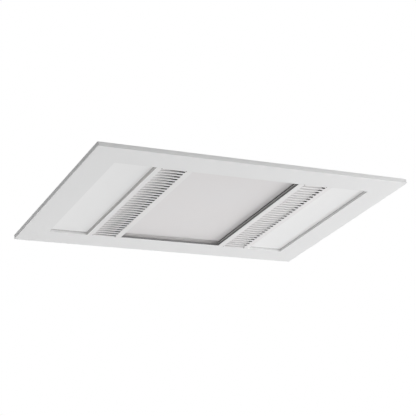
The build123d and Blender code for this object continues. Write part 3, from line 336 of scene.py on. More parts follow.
def cloud(made, scale, detail=3.0, stretch=(1, 1, 1)):
    """A noise pattern from 0 to 1, with about this many waves to the metre."""
    noise = add_on_object(made, "ShaderNodeTexNoise", stretch, Scale=scale, Detail=detail, Roughness=0.55)
    return noise.outputs["Fac"]


def spread(made, pattern, low, high, start=0.3, stop=0.7):
    """A pattern's values from start to stop, mapped to lie between low and high."""
    ranged = add_node(made, "ShaderNodeMapRange", From_Min=start, From_Max=stop, To_Min=low, To_Max=high)
    join(made, pattern, ranged.inputs["Value"])
    return ranged.outputs["Result"]


def tint(made, pattern, first, second):
    """The surface's colour goes from first to second as the pattern goes from 0 to 1."""
    ramp = add_node(made, "ShaderNodeValToRGB")
    for element, colour in zip(ramp.color_ramp.elements, (first, second)):
        element.color = (*colour, 1)
    join(made, pattern, ramp.inputs["Fac"])
    join(made, ramp.outputs["Color"], shader_of(made).inputs["Base Color"])


def gloss(made, pattern, low, high):
    """The surface's roughness goes from low to high with a pattern."""
    join(made, spread(made, pattern, low, high), shader_of(made).inputs["Roughness"])


def relief(made, pattern, microns):
    """The pattern raises the surface by so many microns, on top of any earlier relief."""
    normal = shader_of(made).inputs["Normal"]
    bump = add_node(made, "ShaderNodeBump", Strength=1.0, Distance=microns * micron)
    if normal.links:
        join(made, normal.links[0].from_socket, bump.inputs["Normal"])
    join(made, pattern, bump.inputs["Height"])
    join(made, bump.outputs["Normal"], normal)


print("ready to use patterns")

# %% [markdown]
# ## The white plate
# The plate is sheet with a satin white coat. Real coats are never one flat white: they drift a
# little in tone and have a fine orange peel that softens reflections. The strips beside the
# light are moulded plastic of a slightly warmer white with a finer, duller grain.

# %% White finishes
plate_white = start_finish("plate_white", (0.80, 0.80, 0.80), 0.42, Specular_IOR_Level=0.45)
tint(plate_white, cloud(plate_white, 7.0), (0.795, 0.797, 0.80), (0.815, 0.814, 0.812))
gloss(plate_white, cloud(plate_white, 60.0), 0.38, 0.46)
relief(plate_white, cloud(plate_white, 700.0, 2.0), 12)

grille_white = start_finish("grille_white", (0.82, 0.81, 0.81), 0.5, Specular_IOR_Level=0.4)
tint(grille_white, cloud(grille_white, 11.0), (0.815, 0.803, 0.803), (0.835, 0.826, 0.826))
relief(grille_white, cloud(grille_white, 1500.0, 2.0), 10)
print("white finishes:", plate_white.name, grille_white.name)

# %% [markdown]
# ## The heater windows and the light
# The heater windows are etched glass with a white back, so they look like a very smooth white
# with a soft sheen. The light's diffuser is opal plastic, a shade darker than the plate when
# the light is off, with a faint drift between warm and cool. Light could be let into both with
# transmission or subsurface, but nothing shows through either, and a plain surface gives the
# photograph's tone with less noise. The bezel is a pale grey plastic that sits in shadow.

# %% Glass, opal and bezel
satin_glass = start_finish("satin_glass", (0.86, 0.86, 0.86), 0.34, Specular_IOR_Level=0.4)
tint(satin_glass, cloud(satin_glass, 5.0), (0.857, 0.857, 0.858), (0.87, 0.87, 0.87))
gloss(satin_glass, cloud(satin_glass, 40.0), 0.32, 0.37)
relief(satin_glass, cloud(satin_glass, 240.0, 1.0), 2)

opal_diffuser = start_finish("opal_diffuser", (0.77, 0.75, 0.75), 0.4, Specular_IOR_Level=0.4)
tint(opal_diffuser, cloud(opal_diffuser, 9.0, 1.0), (0.772, 0.750, 0.746), (0.764, 0.752, 0.758))
relief(opal_diffuser, cloud(opal_diffuser, 300.0, 1.0), 3)

bezel_grey = start_finish("bezel_grey", (0.5, 0.49, 0.49), 0.45)
tint(bezel_grey, cloud(bezel_grey, 40.0), (0.49, 0.48, 0.478), (0.52, 0.51, 0.508))
relief(bezel_grey, cloud(bezel_grey, 1200.0, 2.0), 10)
print("window finishes:", satin_glass.name, opal_diffuser.name, bezel_grey.name)

# %% [markdown]
# ## Galvanised sheet
# Zinc on hot-dipped steel freezes into crystals a centimetre or so across, and each of them
# shines a little differently. A photograph of the sheet could be laid on, but a cell pattern
# says the same with no picture: every cell gets its own tone and its own gloss, its borders
# are very slightly sunk, and a fine brushed cloud breaks the cells up.

# %% Galvanised sheet
crystals_per_metre = 130.0
border_share = 0.06

galvanised = start_finish("galvanised", (0.56, 0.57, 0.58), 0.45, Metallic=0.8)
crystals = {"Scale": crystals_per_metre, "Randomness": 1.0}
crystal = add_on_object(galvanised, "ShaderNodeTexVoronoi", **crystals)
crystal_tone = add_node(galvanised, "ShaderNodeSeparateColor")
join(galvanised, crystal.outputs["Color"], crystal_tone.inputs["Color"])
tint(galvanised, crystal_tone.outputs["Red"], (0.48, 0.49, 0.50), (0.61, 0.62, 0.63))
gloss(galvanised, crystal_tone.outputs["Green"], 0.42, 0.58)

crystal_edge = add_on_object(galvanised, "ShaderNodeTexVoronoi", **crystals)
crystal_edge.feature = "DISTANCE_TO_EDGE"
sunk_border = spread(galvanised, crystal_edge.outputs["Distance"], 0.0, 1.0, 0.0, border_share)
relief(galvanised, sunk_border, 40)
relief(galvanised, cloud(galvanised, 420.0), 15)
print("sheet finish:", galvanised.name)

# %% [markdown]
# ## Other metals
# Rolled aluminium and drawn wire have long fine streaks along their length, and a ground shaft
# has them round it, so their noise is stretched that way. Plated screws get a small cloud for
# their gloss. Bronze bearings are sintered, so their surface is full of pores. Anisotropic
# shading could draw the streaks too, but stretched noise also shows on flat faces seen head-on.

# %% Other metals


def streaked(slot, colour, roughness, stretch, fine):
    """A metal with streaks along the axes whose numbers in stretch are the smallest."""
    made = start_finish(slot, colour, roughness, Metallic=1.0)
    lines = cloud(made, fine, 2.0, stretch)
    darker = tuple(v * 0.92 for v in colour)
    tint(made, lines, darker, colour)
    gloss(made, lines, roughness * 0.8, roughness * 1.25)
    relief(made, lines, 4)


def clouded(slot, colour, roughness, metallic, fine, microns):
    """A metal, plastic, rubber or ceramic with a cloudy tone and a fine grain."""
    made = start_finish(slot, colour, roughness, Metallic=metallic)
    darker = tuple(v * 0.9 for v in colour)
    tint(made, cloud(made, fine / 12), darker, colour)
    gloss(made, cloud(made, fine / 5), roughness * 0.85, roughness * 1.15)
    relief(made, cloud(made, fine, 2.0), microns)


streaked("aluminised", (0.86, 0.87, 0.88), 0.12, (1, 0.03, 1), 900.0)
streaked("mill_aluminium", (0.74, 0.75, 0.76), 0.32, (0.04, 1, 1), 700.0)
streaked("spring_wire", (0.62, 0.62, 0.62), 0.25, (1, 1, 0.02), 2500.0)
streaked("ground_steel", (0.66, 0.66, 0.67), 0.28, (1, 1, 8), 400.0)
clouded("zinc_screw", (0.66, 0.66, 0.63), 0.34, 1.0, 900.0, 10)
clouded("bronze", (0.66, 0.46, 0.24), 0.45, 1.0, 2400.0, 30)
print("with the metals there are", len(finishes), "finishes")

# %% [markdown]
# ## Plastics, rubber and ceramic
# These parts are hidden or half hidden, but each gets the grain of the real thing: spark-eroded
# texture on the moulded housings, a chalky speckle on the steatite lamp holders, and a dull
# bloom on the rubber. The helper for clouded metals makes them all, with less metal in it. Only
# the light's circuit board, with its fine tracks, and its guide, with printed dots, need more.

# %% Plastics, rubber and ceramic
clouded("grey_plastic", (0.56, 0.57, 0.58), 0.48, 0.0, 1300.0, 30)
clouded("blower_black", (0.028, 0.028, 0.031), 0.5, 0.0, 1100.0, 30)
clouded("phenolic", (0.016, 0.015, 0.015), 0.38, 0.0, 1500.0, 10)
clouded("black_rubber", (0.012, 0.012, 0.012), 0.75, 0.0, 900.0, 20)
clouded("steatite", (0.76, 0.73, 0.65), 0.6, 0.0, 2000.0, 30)
clouded("lead_sheath", (0.74, 0.74, 0.71), 0.42, 0.0, 1500.0, 6)
clouded("motor_paint", (0.075, 0.08, 0.088), 0.35, 0.2, 600.0, 20)

circuit_board = start_finish("circuit_board", (0.82, 0.82, 0.78), 0.4)
tracks = add_on_object(
    circuit_board, "ShaderNodeTexBrick", Scale=120.0,
    Color1=(0.84, 0.84, 0.80, 1), Color2=(0.82, 0.82, 0.79, 1), Mortar=(0.62, 0.60, 0.50, 1),
)
join(circuit_board, tracks.outputs["Color"], shader_of(circuit_board).inputs["Base Color"])

clear_acrylic = start_finish(
    "clear_acrylic", (0.95, 0.97, 0.98), 0.04, Transmission_Weight=1.0, IOR=1.49,
)
light_dots = add_on_object(clear_acrylic, "ShaderNodeTexVoronoi", Scale=350.0, Randomness=0.0)
relief(clear_acrylic, light_dots.outputs["Distance"], 50)
print("with the plastics there are", len(finishes), "finishes")

# %% [markdown]
# ## Laminations and quartz
# The rotor and stator are stacks of thin sheets, which show as fine level lines, and above and
# below the stack sits the copper winding. The lamp is a clear quartz tube with white ceramic
# ends. Both are one solid each, so they could only be split by changing the CAD. Instead the
# finish changes along the solid's own axis: a mask from the object's coordinates says where
# copper or ceramic begins.

# %% Laminations and quartz
winding_gap = 0.2 * mm
ceramic_length = 13.5 * mm


def beyond(made, axis, middle, half, soft=0.1 * mm):
    """1 where the object's coordinate on an axis is further than half from the middle, else 0."""
    place = add_on_object(made, "ShaderNodeSeparateXYZ")
    shifted = maths(made.node_tree, "SUBTRACT", place.outputs[axis], middle)
    distance = maths(made.node_tree, "ABSOLUTE", shifted)
    return spread(made, distance, 0.0, 1.0, half - soft, half + soft)


rotor_low, rotor_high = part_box("motor_rotor")
stack_middle = (rotor_low.z + rotor_high.z) / 2
stack_half = (rotor_high.z - rotor_low.z) / 2
motor_lamination = start_finish("motor_lamination", (0.2, 0.2, 0.21), 0.4, Metallic=0.7)
sheets = add_on_object(motor_lamination, "ShaderNodeTexWave", Scale=320.0, Distortion=0.0)
sheets.bands_direction = "Z"
relief(motor_lamination, sheets.outputs["Fac"], 50)
winding = beyond(motor_lamination, "Z", stack_middle, stack_half + winding_gap)
tint(motor_lamination, winding, (0.2, 0.2, 0.21), (0.55, 0.22, 0.09))

tube_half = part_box("halogen_tube_left")[1].y - ceramic_length
quartz = start_finish("quartz", (0.94, 0.95, 0.96), 0.05, IOR=1.46)
ceramic_end = beyond(quartz, "Y", 0.0, tube_half)
tint(quartz, ceramic_end, (0.97, 0.98, 0.99), (0.84, 0.83, 0.80))
gloss(quartz, ceramic_end, 0.03, 0.6)
clear_part = spread(quartz, ceramic_end, 1.0, 0.0, 0.0, 1.0)
join(quartz, clear_part, shader_of(quartz).inputs["Transmission Weight"])
print("all", len(finishes), "finishes are made")

# %% [markdown]
# ## Dressing the CAD nodes
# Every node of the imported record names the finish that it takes, so one loop gives each node
# its material. The meshes themselves stay as the CAD made them.

# %% Put the finishes on the nodes
slot_of_node = {part["node"]: part["material_slot"] for part in frame["record"]["subparts"]}
for node_name, node in frame["nodes"].items():
    node.data.materials.clear()
    node.data.materials.append(finishes[slot_of_node[node_name]])
print(len(slot_of_node), "nodes dressed")

# %% [markdown]
# ## Adding pieces to the CAD model
# Small things such as rivets and pressed beads aren't in the CAD, and neither are the dark
# strips, edgings, teeth and dots of painted shade, or the pale strip of painted light. Each is a
# mesh of its own that rides on a body of the model, takes a finish of the record, and has its
# place in its own mesh. One helper does these steps for all of them, and another turns the faces
# of a hand-made mesh outwards, which is easier than winding every face the right way round.

# %% Helpers for added pieces


def add_piece(name, mesh, body, slot):
    """A finished mesh as a piece that rides on a body and takes a finish of the record."""
    piece = bpy.data.objects.new(name, mesh)
    scene.collection.objects.link(piece)
    piece.data.materials.clear()
    piece.data.materials.append(finishes[slot])
    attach(piece, body)
    print(name, "has", len(mesh.polygons), "faces and rides on", body)
    return piece


def close_mesh(name, shell):
    """A bmesh made into mesh data, with its faces turned outwards."""
    bmesh.ops.recalc_face_normals(shell, faces=shell.faces)
    data = bpy.data.meshes.new(name)
    shell.to_mesh(data)
    shell.free()
    return data


print("ready to add pieces")

# %% [markdown]
# ## A helper for edgings
# The light's opening and the heater windows are edged all round. Such an edging is one small
# section carried round a rectangle with mitred corners. A curve with a bevel would round the
# corners, so every point of the section is placed at the four corners and joined to the next.

# %% Helper for edgings


def edging_mesh(name, centre_x, half_x, half_y, section):
    """A section of (outwards, height) points, in mm, carried round a rectangle."""
    shell = bmesh.new()
    loops = []
    for sx, sy in square_corners:
        corner = [(centre_x + (half_x + out) * sx, (half_y + out) * sy, z) for out, z in section]
        loops.append([shell.verts.new([v * mm for v in place]) for place in corner])
    for corner in range(4):
        here, there = loops[corner], loops[(corner + 1) % 4]
        for step in range(len(section)):
            after = (step + 1) % len(section)
            shell.faces.new((here[step], there[step], there[after], here[after]))
    return close_mesh(name, shell)


print("an edging has", len(square_corners), "mitred corners")

# %% [markdown]
# ## The lip of the light, and a liner of painted shade
# A narrow white lip edges the plate's opening for the light, with a thin dark liner behind it.
# The liner is painted shade: a dark band where the wall of the opening lies in shadow.
# In the photograph they are two thin lines, one pale and one dark. A painted line on the wall
# of the opening would look right from one side only, so both are solid edgings, and the liner
# is tucked in behind the lip, which hides all but a thin line of it.

# %% Lip, and liner of painted shade
grille_low, grille_high = corners_in_mm("left_grille")
underside = grille_low.z
fit_gap = 0.3
light_half_x, light_half_y = -grille_high.x - fit_gap, grille_high.y

lip_reach = 1.2
lip_low, lip_high = underside + 0.05, underside + 0.75
lip_section = [
    (-lip_reach, lip_low + 0.15),
    (-lip_reach + 0.15, lip_low),
    (0.6, lip_low),
    (0.6, lip_high),
    (-lip_reach, lip_high),
]
lip_mesh = edging_mesh("window_lip", 0.0, light_half_x, light_half_y, lip_section)
add_piece("window_lip", lip_mesh, "fascia", "plate_white")

# The dark liner is painted shade on the wall of the light's opening.
shade_liner_sheet = 0.5
shade_liner_low, shade_liner_high = underside + 0.8, underside + 1.9
shade_liner_section = [
    (-lip_reach, shade_liner_low),
    (-lip_reach + shade_liner_sheet, shade_liner_low),
    (-lip_reach + shade_liner_sheet, shade_liner_high),
    (-lip_reach, shade_liner_high),
]
shade_liner_mesh = edging_mesh("window_shade_liner", 0.0, light_half_x, light_half_y, shade_liner_section)
add_piece("window_shade_liner", shade_liner_mesh, "fascia", "motor_paint")

# %% [markdown]
# ## Painted shade round the heater glass
# A fine grey seal edges the glass of each heater window. It is painted shade, the shadow along
# the glass's edge. In the photograph it is a thin darker line, wider on the left, so the painted
# shade is wider there. A strip of foam would need four pieces and four corners, and this is an
# edging too, so the same helper makes it. It sits on the glass, a little in from its edge.

# %% Painted shade round the glass
glass_low, glass_high = corners_in_mm("heater_glass_right")
glass_overlap = 6.8
heater_x = (glass_low.x + glass_high.x) / 2
shade_seal_half_x = (glass_high.x - glass_low.x) / 2 - glass_overlap
shade_seal_half_y = glass_high.y - glass_overlap
shade_seal_top = glass_low.z
# The grey seal is painted shade, and reaches further on the left, where the shadow is broader.
shade_seal_reach = {"left": 1.5, "right": 0.7}
sides = (("left", -1), ("right", 1))

for side_name, side in sides:
    reach = shade_seal_reach[side_name]
    shade_seal_section = [
        (-reach, shade_seal_top),
        (-reach + 0.2, shade_seal_top - 0.3),
        (0.0, shade_seal_top - 0.6),
        (0.3, shade_seal_top - 0.6),
        (0.3, shade_seal_top),
    ]
    shade_seal_name = f"glass_shade_seal_{side_name}"
    shade_seal_mesh = edging_mesh(shade_seal_name, side * heater_x, shade_seal_half_x, shade_seal_half_y, shade_seal_section)
    add_piece(shade_seal_name, shade_seal_mesh, "chassis", "bezel_grey")

# %% [markdown]
# ## A helper for soft strips
# The dark strips of painted shade, and the pale strip of painted light at the diffuser, are
# straight strips with rounded corners. A box with a bevel would be dead straight, and soft strips
# never quite are. So the strip is made of many short stations along Y, and each is shifted
# sideways by two slow waves that add up to a tenth of a millimetre.

# %% Helper for strips
strip_stations = 60
sway_waves = ((0.06, 0.31, 0.0), (0.04, 0.83, 1.0))


def rounded_section(half_x, half_z, edge):
    """The eight points of a rectangle whose corners are cut by an edge."""
    section = []
    for sx, sz in square_corners:
        near_x, near_z = (sx * (half_x - edge), sz * half_z), (sx * half_x, sz * (half_z - edge))
        section += [near_x, near_z] if sx * sz < 0 else [near_z, near_x]
    return section


def strip_mesh(name, low, high, length, roundness=0.5, sway_by=1.0):
    """A strip along Y between two corners (x, z), with rounded edges. All in mm."""
    half_x, half_z = (high[0] - low[0]) / 2, (high[1] - low[1]) / 2
    middle_x, middle_z = (low[0] + high[0]) / 2, (low[1] + high[1]) / 2
    section = rounded_section(half_x, half_z, min(half_x, half_z) * roundness)
    shell = bmesh.new()
    loops = []
    for station in range(strip_stations + 1):
        y = length * (station / strip_stations - 0.5)
        sway = sway_by * sum(size * math.sin(y * rate + start) for size, rate, start in sway_waves)
        places = [(middle_x + dx + sway, y, middle_z + dz) for dx, dz in section]
        loops.append([shell.verts.new([v * mm for v in place]) for place in places])
    count = len(section)
    for here, there in zip(loops, loops[1:]):
        for step in range(count):
            after = (step + 1) % count
            shell.faces.new((here[step], there[step], there[after], here[after]))
    shell.faces.new(loops[0])
    shell.faces.new(list(reversed(loops[-1])))
    return close_mesh(name, shell)


print("a strip has", strip_stations, "stations")

# %% [markdown]
# ## Strips of painted shade and painted light
# Black strips stand behind both ends of the slots. They are painted shade: from below they make
# the ends of the slots dark, as shadow does there. Two black cords lie in the groove of the
# light's bezel, along its long sides, and draw its darkest line, which is painted shade too. A
# pale strip turned down at the diffuser's far edge is painted light: a pale line on the far wall,
# which would otherwise lie in shade. The rim is a strip like the others, made along Y and then
# turned to lie along X.

# %% Strips of painted shade and painted light
# The black strips at both ends of the slots are painted shade.
shade_strips = {"inner": ((105.9, -6.7), (106.9, 5.0)), "outer": ((148.95, -6.6), (149.5, -2.1))}
shade_strip_length = 293.0
# The black cords in the groove of the bezel are painted shade.
shade_cord_low, shade_cord_high, shade_cord_length = (98.4, -0.3), (99.35, 1.9), 303.0
# The pale rim at the diffuser's far edge is painted light on a wall that would be in shade.
lit_rim_low, lit_rim_high, lit_rim_length = (150.2, 0.1), (151.9, 2.2), 196.0


def on_side(side, low, high):
    """The corners (x, z) of a strip on the right, or of its mirror image on the left."""
    near, far = sorted((side * low[0], side * high[0]))
    return (near, low[1]), (far, high[1])


for side_name, side in sides:
    for place, corners in shade_strips.items():
        shade_strip_name = f"foam_{side_name}_{place}"
        shade_strip = strip_mesh(shade_strip_name, *on_side(side, *corners), shade_strip_length)
        add_piece(shade_strip_name, shade_strip, "fascia", "black_rubber")
    shade_cord_name = f"groove_shade_cord_{side_name}"
    shade_cord_ends = on_side(side, shade_cord_low, shade_cord_high)
    shade_cord = strip_mesh(shade_cord_name, *shade_cord_ends, shade_cord_length, roundness=0.8, sway_by=0.2)
    add_piece(shade_cord_name, shade_cord, "chassis", "black_rubber")

lit_rim = strip_mesh("diffuser_lit_rim", lit_rim_low, lit_rim_high, lit_rim_length, sway_by=0.1)
lit_rim.transform(Matrix.Rotation(math.pi / 2, 4, "Z"))
add_piece("diffuser_lit_rim", lit_rim, "chassis", "opal_diffuser")

# %% [markdown]
# ## Geometry Nodes trees for small repeated shapes
# Rivet heads, beads, knock-outs and teeth all repeat, and each kind is one tree: the tree makes
# the shape from named sizes and puts a copy on every vertex of a mesh. A loop over bmesh copies
# would do the same, but in a tree the shape and its places stay apart, and either can change.

# %% Helpers that start a tree


def new_tree(name, inputs):
    """A Geometry Nodes tree with named number inputs, and its first and last node."""
    tree = bpy.data.node_groups.new(name, "GeometryNodeTree")
    sockets = tree.interface
    sockets.new_socket("Geometry", in_out="INPUT", socket_type="NodeSocketGeometry")
    for label, default in inputs.items():
        number = sockets.new_socket(label, in_out="INPUT", socket_type="NodeSocketFloat")
        number.default_value = default * mm
    sockets.new_socket("Material", in_out="INPUT", socket_type="NodeSocketMaterial")
    sockets.new_socket("Geometry", in_out="OUTPUT", socket_type="NodeSocketGeometry")
    return tree, tree.nodes.new("NodeGroupInput"), tree.nodes.new("NodeGroupOutput")


def smoothed(tree, mesh):
    """A mesh with smooth shading."""
    node = tree.nodes.new("GeometryNodeSetShadeSmooth")
    tree.links.new(mesh, node.inputs["Geometry"])
    return node.outputs["Geometry"]


print("ready to start trees")

# %% [markdown]
# ## Putting a shape in its places
# Every copy has to face away from the sheet that it sits on. Angles would have to be worked out
# for each wall, so two vectors are stored on the vertices instead: one says which way is out,
# and the other which way the shape runs. Every tree ends in Realize Instances and Set Material,
# so the result is a plain mesh.

# %% Helpers that place a shape


def turn_towards(tree, axis, label):
    """A node that turns an axis of the shape towards a vector stored on the vertices."""
    stored = tree.nodes.new("GeometryNodeInputNamedAttribute")
    stored.data_type = "FLOAT_VECTOR"
    stored.inputs["Name"].default_value = label
    turn = tree.nodes.new("FunctionNodeAlignRotationToVector")
    turn.axis = axis
    tree.links.new(stored.outputs["Attribute"], turn.inputs["Vector"])
    return turn


def put_on_points(tree, entry, leave, shape):
    """Copies of a shape on every vertex, turned by the two stored vectors, made real."""
    stand = turn_towards(tree, "Z", "outwards")
    turn = turn_towards(tree, "X", "along")
    turn.pivot_axis = "Z"
    tree.links.new(stand.outputs["Rotation"], turn.inputs["Rotation"])
    copies = tree.nodes.new("GeometryNodeInstanceOnPoints")
    tree.links.new(entry.outputs["Geometry"], copies.inputs["Points"])
    tree.links.new(shape, copies.inputs["Instance"])
    tree.links.new(turn.outputs["Rotation"], copies.inputs["Rotation"])
    real = tree.nodes.new("GeometryNodeRealizeInstances")
    tree.links.new(copies.outputs["Instances"], real.inputs["Geometry"])
    coat = tree.nodes.new("GeometryNodeSetMaterial")
    tree.links.new(real.outputs["Geometry"], coat.inputs["Geometry"])
    tree.links.new(entry.outputs["Material"], coat.inputs["Material"])
    tree.links.new(coat.outputs["Geometry"], leave.inputs["Geometry"])
    print("the tree", tree.name, "has", len(tree.nodes), "nodes")


print("ready to place shapes")

# %% [markdown]
# ## The tree for domes
# Rivet heads, spot welds and the long beads pressed into sheet are all the same low dome, round
# or drawn out to a length. A sphere is flattened, and its two halves are moved apart by the
# length, which stretches the ring of faces between them.

# %% The tree for domes
dome_tree, dome_in, dome_out = new_tree("pressed_dome", {"Width": 6, "Height": 1.5, "Extra Length": 0})
ball = dome_tree.nodes.new("GeometryNodeMeshUVSphere")
set_inputs(ball, {"Segments": 16, "Rings": 8, "Radius": 0.5})
ball_size = dome_tree.nodes.new("ShaderNodeCombineXYZ")
dome_tree.links.new(dome_in.outputs["Width"], ball_size.inputs["X"])
dome_tree.links.new(dome_in.outputs["Width"], ball_size.inputs["Y"])
whole_height = maths(dome_tree, "MULTIPLY", dome_in.outputs["Height"], 2.0)
dome_tree.links.new(whole_height, ball_size.inputs["Z"])
flatten = dome_tree.nodes.new("GeometryNodeTransform")
dome_tree.links.new(ball.outputs["Mesh"], flatten.inputs["Geometry"])
dome_tree.links.new(ball_size.outputs["Vector"], flatten.inputs["Scale"])

vertex_place = dome_tree.nodes.new("GeometryNodeInputPosition")
vertex_parts = dome_tree.nodes.new("ShaderNodeSeparateXYZ")
dome_tree.links.new(vertex_place.outputs["Position"], vertex_parts.inputs["Vector"])
end_side = maths(dome_tree, "SIGN", vertex_parts.outputs["X"])
half_length = maths(dome_tree, "MULTIPLY", dome_in.outputs["Extra Length"], 0.5)
pull = dome_tree.nodes.new("ShaderNodeCombineXYZ")
dome_tree.links.new(maths(dome_tree, "MULTIPLY", end_side, half_length), pull.inputs["X"])
draw_out = dome_tree.nodes.new("GeometryNodeSetPosition")
dome_tree.links.new(flatten.outputs["Geometry"], draw_out.inputs["Geometry"])
dome_tree.links.new(pull.outputs["Vector"], draw_out.inputs["Offset"])
put_on_points(dome_tree, dome_in, dome_out, smoothed(dome_tree, draw_out.outputs["Geometry"]))

# %% [markdown]
# ## The tree for rings
# Knock-outs in a moulded box and the beads of a duct collar are rings. A torus would do for one
# of them, but a small round profile carried along a circle has both sizes as plain inputs.

# %% The tree for rings


def sweep(tree, path, points, radius):
    """A round profile, with so many points, carried along a path."""
    profile = tree.nodes.new("GeometryNodeCurvePrimitiveCircle")
    profile.inputs["Resolution"].default_value = points
    tree.links.new(radius, profile.inputs["Radius"])
    swept = tree.nodes.new("GeometryNodeCurveToMesh")
    tree.links.new(path.outputs["Curve"], swept.inputs["Curve"])
    tree.links.new(profile.outputs["Curve"], swept.inputs["Profile Curve"])
    return swept


ring_tree, ring_in, ring_out = new_tree("round_bead", {"Ring Radius": 10, "Bead Radius": 0.5})
ring_path = ring_tree.nodes.new("GeometryNodeCurvePrimitiveCircle")
ring_path.inputs["Resolution"].default_value = 72
ring_tree.links.new(ring_in.outputs["Ring Radius"], ring_path.inputs["Radius"])
ring = sweep(ring_tree, ring_path, 10, ring_in.outputs["Bead Radius"])
put_on_points(ring_tree, ring_in, ring_out, smoothed(ring_tree, ring.outputs["Mesh"]))

# %% [markdown]
# ## Running a tree
# A modifier's inputs are set by each socket's identifier before the object is evaluated for the
# first time. The evaluated result is then copied into a plain mesh, and the modifier goes with
# the object that carried it. Six directions are named here, because every spot needs two.

# %% Helper that grows a piece
left_way, right_way = (-1, 0, 0), (1, 0, 0)
near_way, far_way = (0, -1, 0), (0, 1, 0)
down, up = (0, 0, -1), (0, 0, 1)


def grow(name, tree, spots, sizes, body, slot):
    """A piece from a tree. Each spot is (place, outwards, along), and lengths are in mm."""
    points = bpy.data.meshes.new(name)
    points.from_pydata([[v * mm for v in place] for place, _, _ in spots], [], [])
    for label, column in (("outwards", 1), ("along", 2)):
        stored = points.attributes.new(label, "FLOAT_VECTOR", "POINT")
        stored.data.foreach_set("vector", [v for spot in spots for v in spot[column]])
    carrier = bpy.data.objects.new(name + "_points", points)
    scene.collection.objects.link(carrier)
    modifier = carrier.modifiers.new("grow", "NODES")
    modifier.node_group = tree
    for socket in tree.interface.items_tree:
        if socket.in_out == "INPUT" and socket.name in sizes:
            modifier[socket.identifier] = float(sizes[socket.name] * mm)
        if socket.in_out == "INPUT" and socket.name == "Material":
            modifier[socket.identifier] = finishes[slot]
    view = bpy.context.evaluated_depsgraph_get()
    made = bpy.data.meshes.new_from_object(carrier.evaluated_get(view))
    made.name = name
    bpy.data.objects.remove(carrier)
    add_piece(name, made, body, slot)


print("ready to grow pieces")

# %% [markdown]
# ## Painted shade in the sockets of the small pins
# Eight small countersunk pins hold the slotted strips, and each has a socket for its key, whose
# hollow lies in shade. In the photograph these are the dark dots at the strips' corners. They are
# only a pixel wide, so a nearly flat dark dome on each pin's face stands for that shade, as
# painted shade.

# %% Painted shade in the pin sockets
pin_columns, pin_row = (107.1, 148.9), 147.95
pin_spots = [
    ((side * x, end * pin_row, underside), down, right_way)
    for side in (-1, 1) for x in pin_columns for end in (-1, 1)
]
# The dark domes are painted shade in the pin sockets.
socket_shade_size = {"Width": 2.0, "Height": 0.12}
grow("pin_socket_shades", dome_tree, pin_spots, socket_shade_size, "fascia", "phenolic")

# %% [markdown]
# ## Painted shadow behind the left slots
# A long black tooth lies behind the edge of every slot of the left grille, as painted shadow. In
# the photograph the dark of these slots thins out towards the left like a drop, and the teeth
# draw that shadow. A third tree makes the tooth from a flattened cone that lies along the slot.

# %% Teeth of painted shadow
tooth_inputs = {"Base Width": 2, "Thickness": 1, "Length": 20}
tooth_tree, tooth_in, tooth_out = new_tree("tapered_tooth", tooth_inputs)
cone = tooth_tree.nodes.new("GeometryNodeMeshCone")
set_inputs(cone, {"Vertices": 10, "Radius Top": 0.06, "Radius Bottom": 0.5, "Depth": 1.0})
cone_size = tooth_tree.nodes.new("ShaderNodeCombineXYZ")
for axis, label in (("X", "Thickness"), ("Y", "Base Width"), ("Z", "Length")):
    tooth_tree.links.new(tooth_in.outputs[label], cone_size.inputs[axis])
shape_tooth = tooth_tree.nodes.new("GeometryNodeTransform")
tooth_tree.links.new(cone.outputs["Mesh"], shape_tooth.inputs["Geometry"])
tooth_tree.links.new(cone_size.outputs["Vector"], shape_tooth.inputs["Scale"])
lay_tooth = tooth_tree.nodes.new("GeometryNodeTransform")
lay_tooth.inputs["Rotation"].default_value = (0.0, math.pi / 2, 0.0)
tooth_tree.links.new(shape_tooth.outputs["Geometry"], lay_tooth.inputs["Geometry"])
put_on_points(tooth_tree, tooth_in, tooth_out, lay_tooth.outputs["Geometry"])

slot_count, slot_pitch, first_slot = 30, 9.92, -146.8
# The black teeth are painted shadow inside the slots of the left grille.
shadow_tooth_base, shadow_tooth_shift, shadow_tooth_height = -107.4, 3.7, -6.3
shadow_tooth_spots = [
    ((shadow_tooth_base, first_slot + slot_pitch * step + shadow_tooth_shift, shadow_tooth_height), down, left_way)
    for step in range(slot_count)
]
shadow_tooth_size = {"Base Width": 3.5, "Thickness": 0.7, "Length": 34.0}
grow("painted_shadow_teeth", tooth_tree, shadow_tooth_spots, shadow_tooth_size, "fascia", "black_rubber")

# %% [markdown]
# ## Beads pressed into the box
# A large flat sheet drums when the fan runs, so makers press long beads into it. Those on the
# top run along the box, clear of the screws, the motor and the terminal box. Those on the walls
# stand between the duct, the joist holes and the clamp slots. All are domes of one width, sunk
# a little into the sheet so that they have no visible foot, and only their lengths differ.

# %% Pressed beads
flange_width = 15.0
housing_high = corners_in_mm("housing_box")[1]
box_x, box_y, box_top = housing_high.x - flange_width, housing_high.y - flange_width, housing_high.z
bead_sink = 0.3
top_rows, top_columns = (150, 120, -135, -155), (-125, 95)
bead_heights, near_heights = (75, 110, 145), (75, 120, 165)
far_bead_x = -120

top_spots = [
    ((x, y, box_top - bead_sink), up, right_way)
    for y in top_rows for x in top_columns
]
end_spots = [
    ((side * (box_x - bead_sink), 0, z), (side, 0, 0), far_way)
    for side in (-1, 1) for z in bead_heights
]
far_spots = [((far_bead_x, box_y - bead_sink, z), far_way, right_way) for z in bead_heights]
near_spots = [((0, bead_sink - box_y, z), near_way, right_way) for z in near_heights]
bead_rows = (
    ("top_beads", top_spots, 170),
    ("end_wall_beads", end_spots, 230),
    ("far_wall_beads", far_spots, 190),
    ("near_wall_beads", near_spots, 250),
)
for row_name, spots, extra_length in bead_rows:
    bead_size = {"Width": 9, "Height": 1.7, "Extra Length": extra_length}
    grow(row_name, dome_tree, spots, bead_size, "chassis", "galvanised")

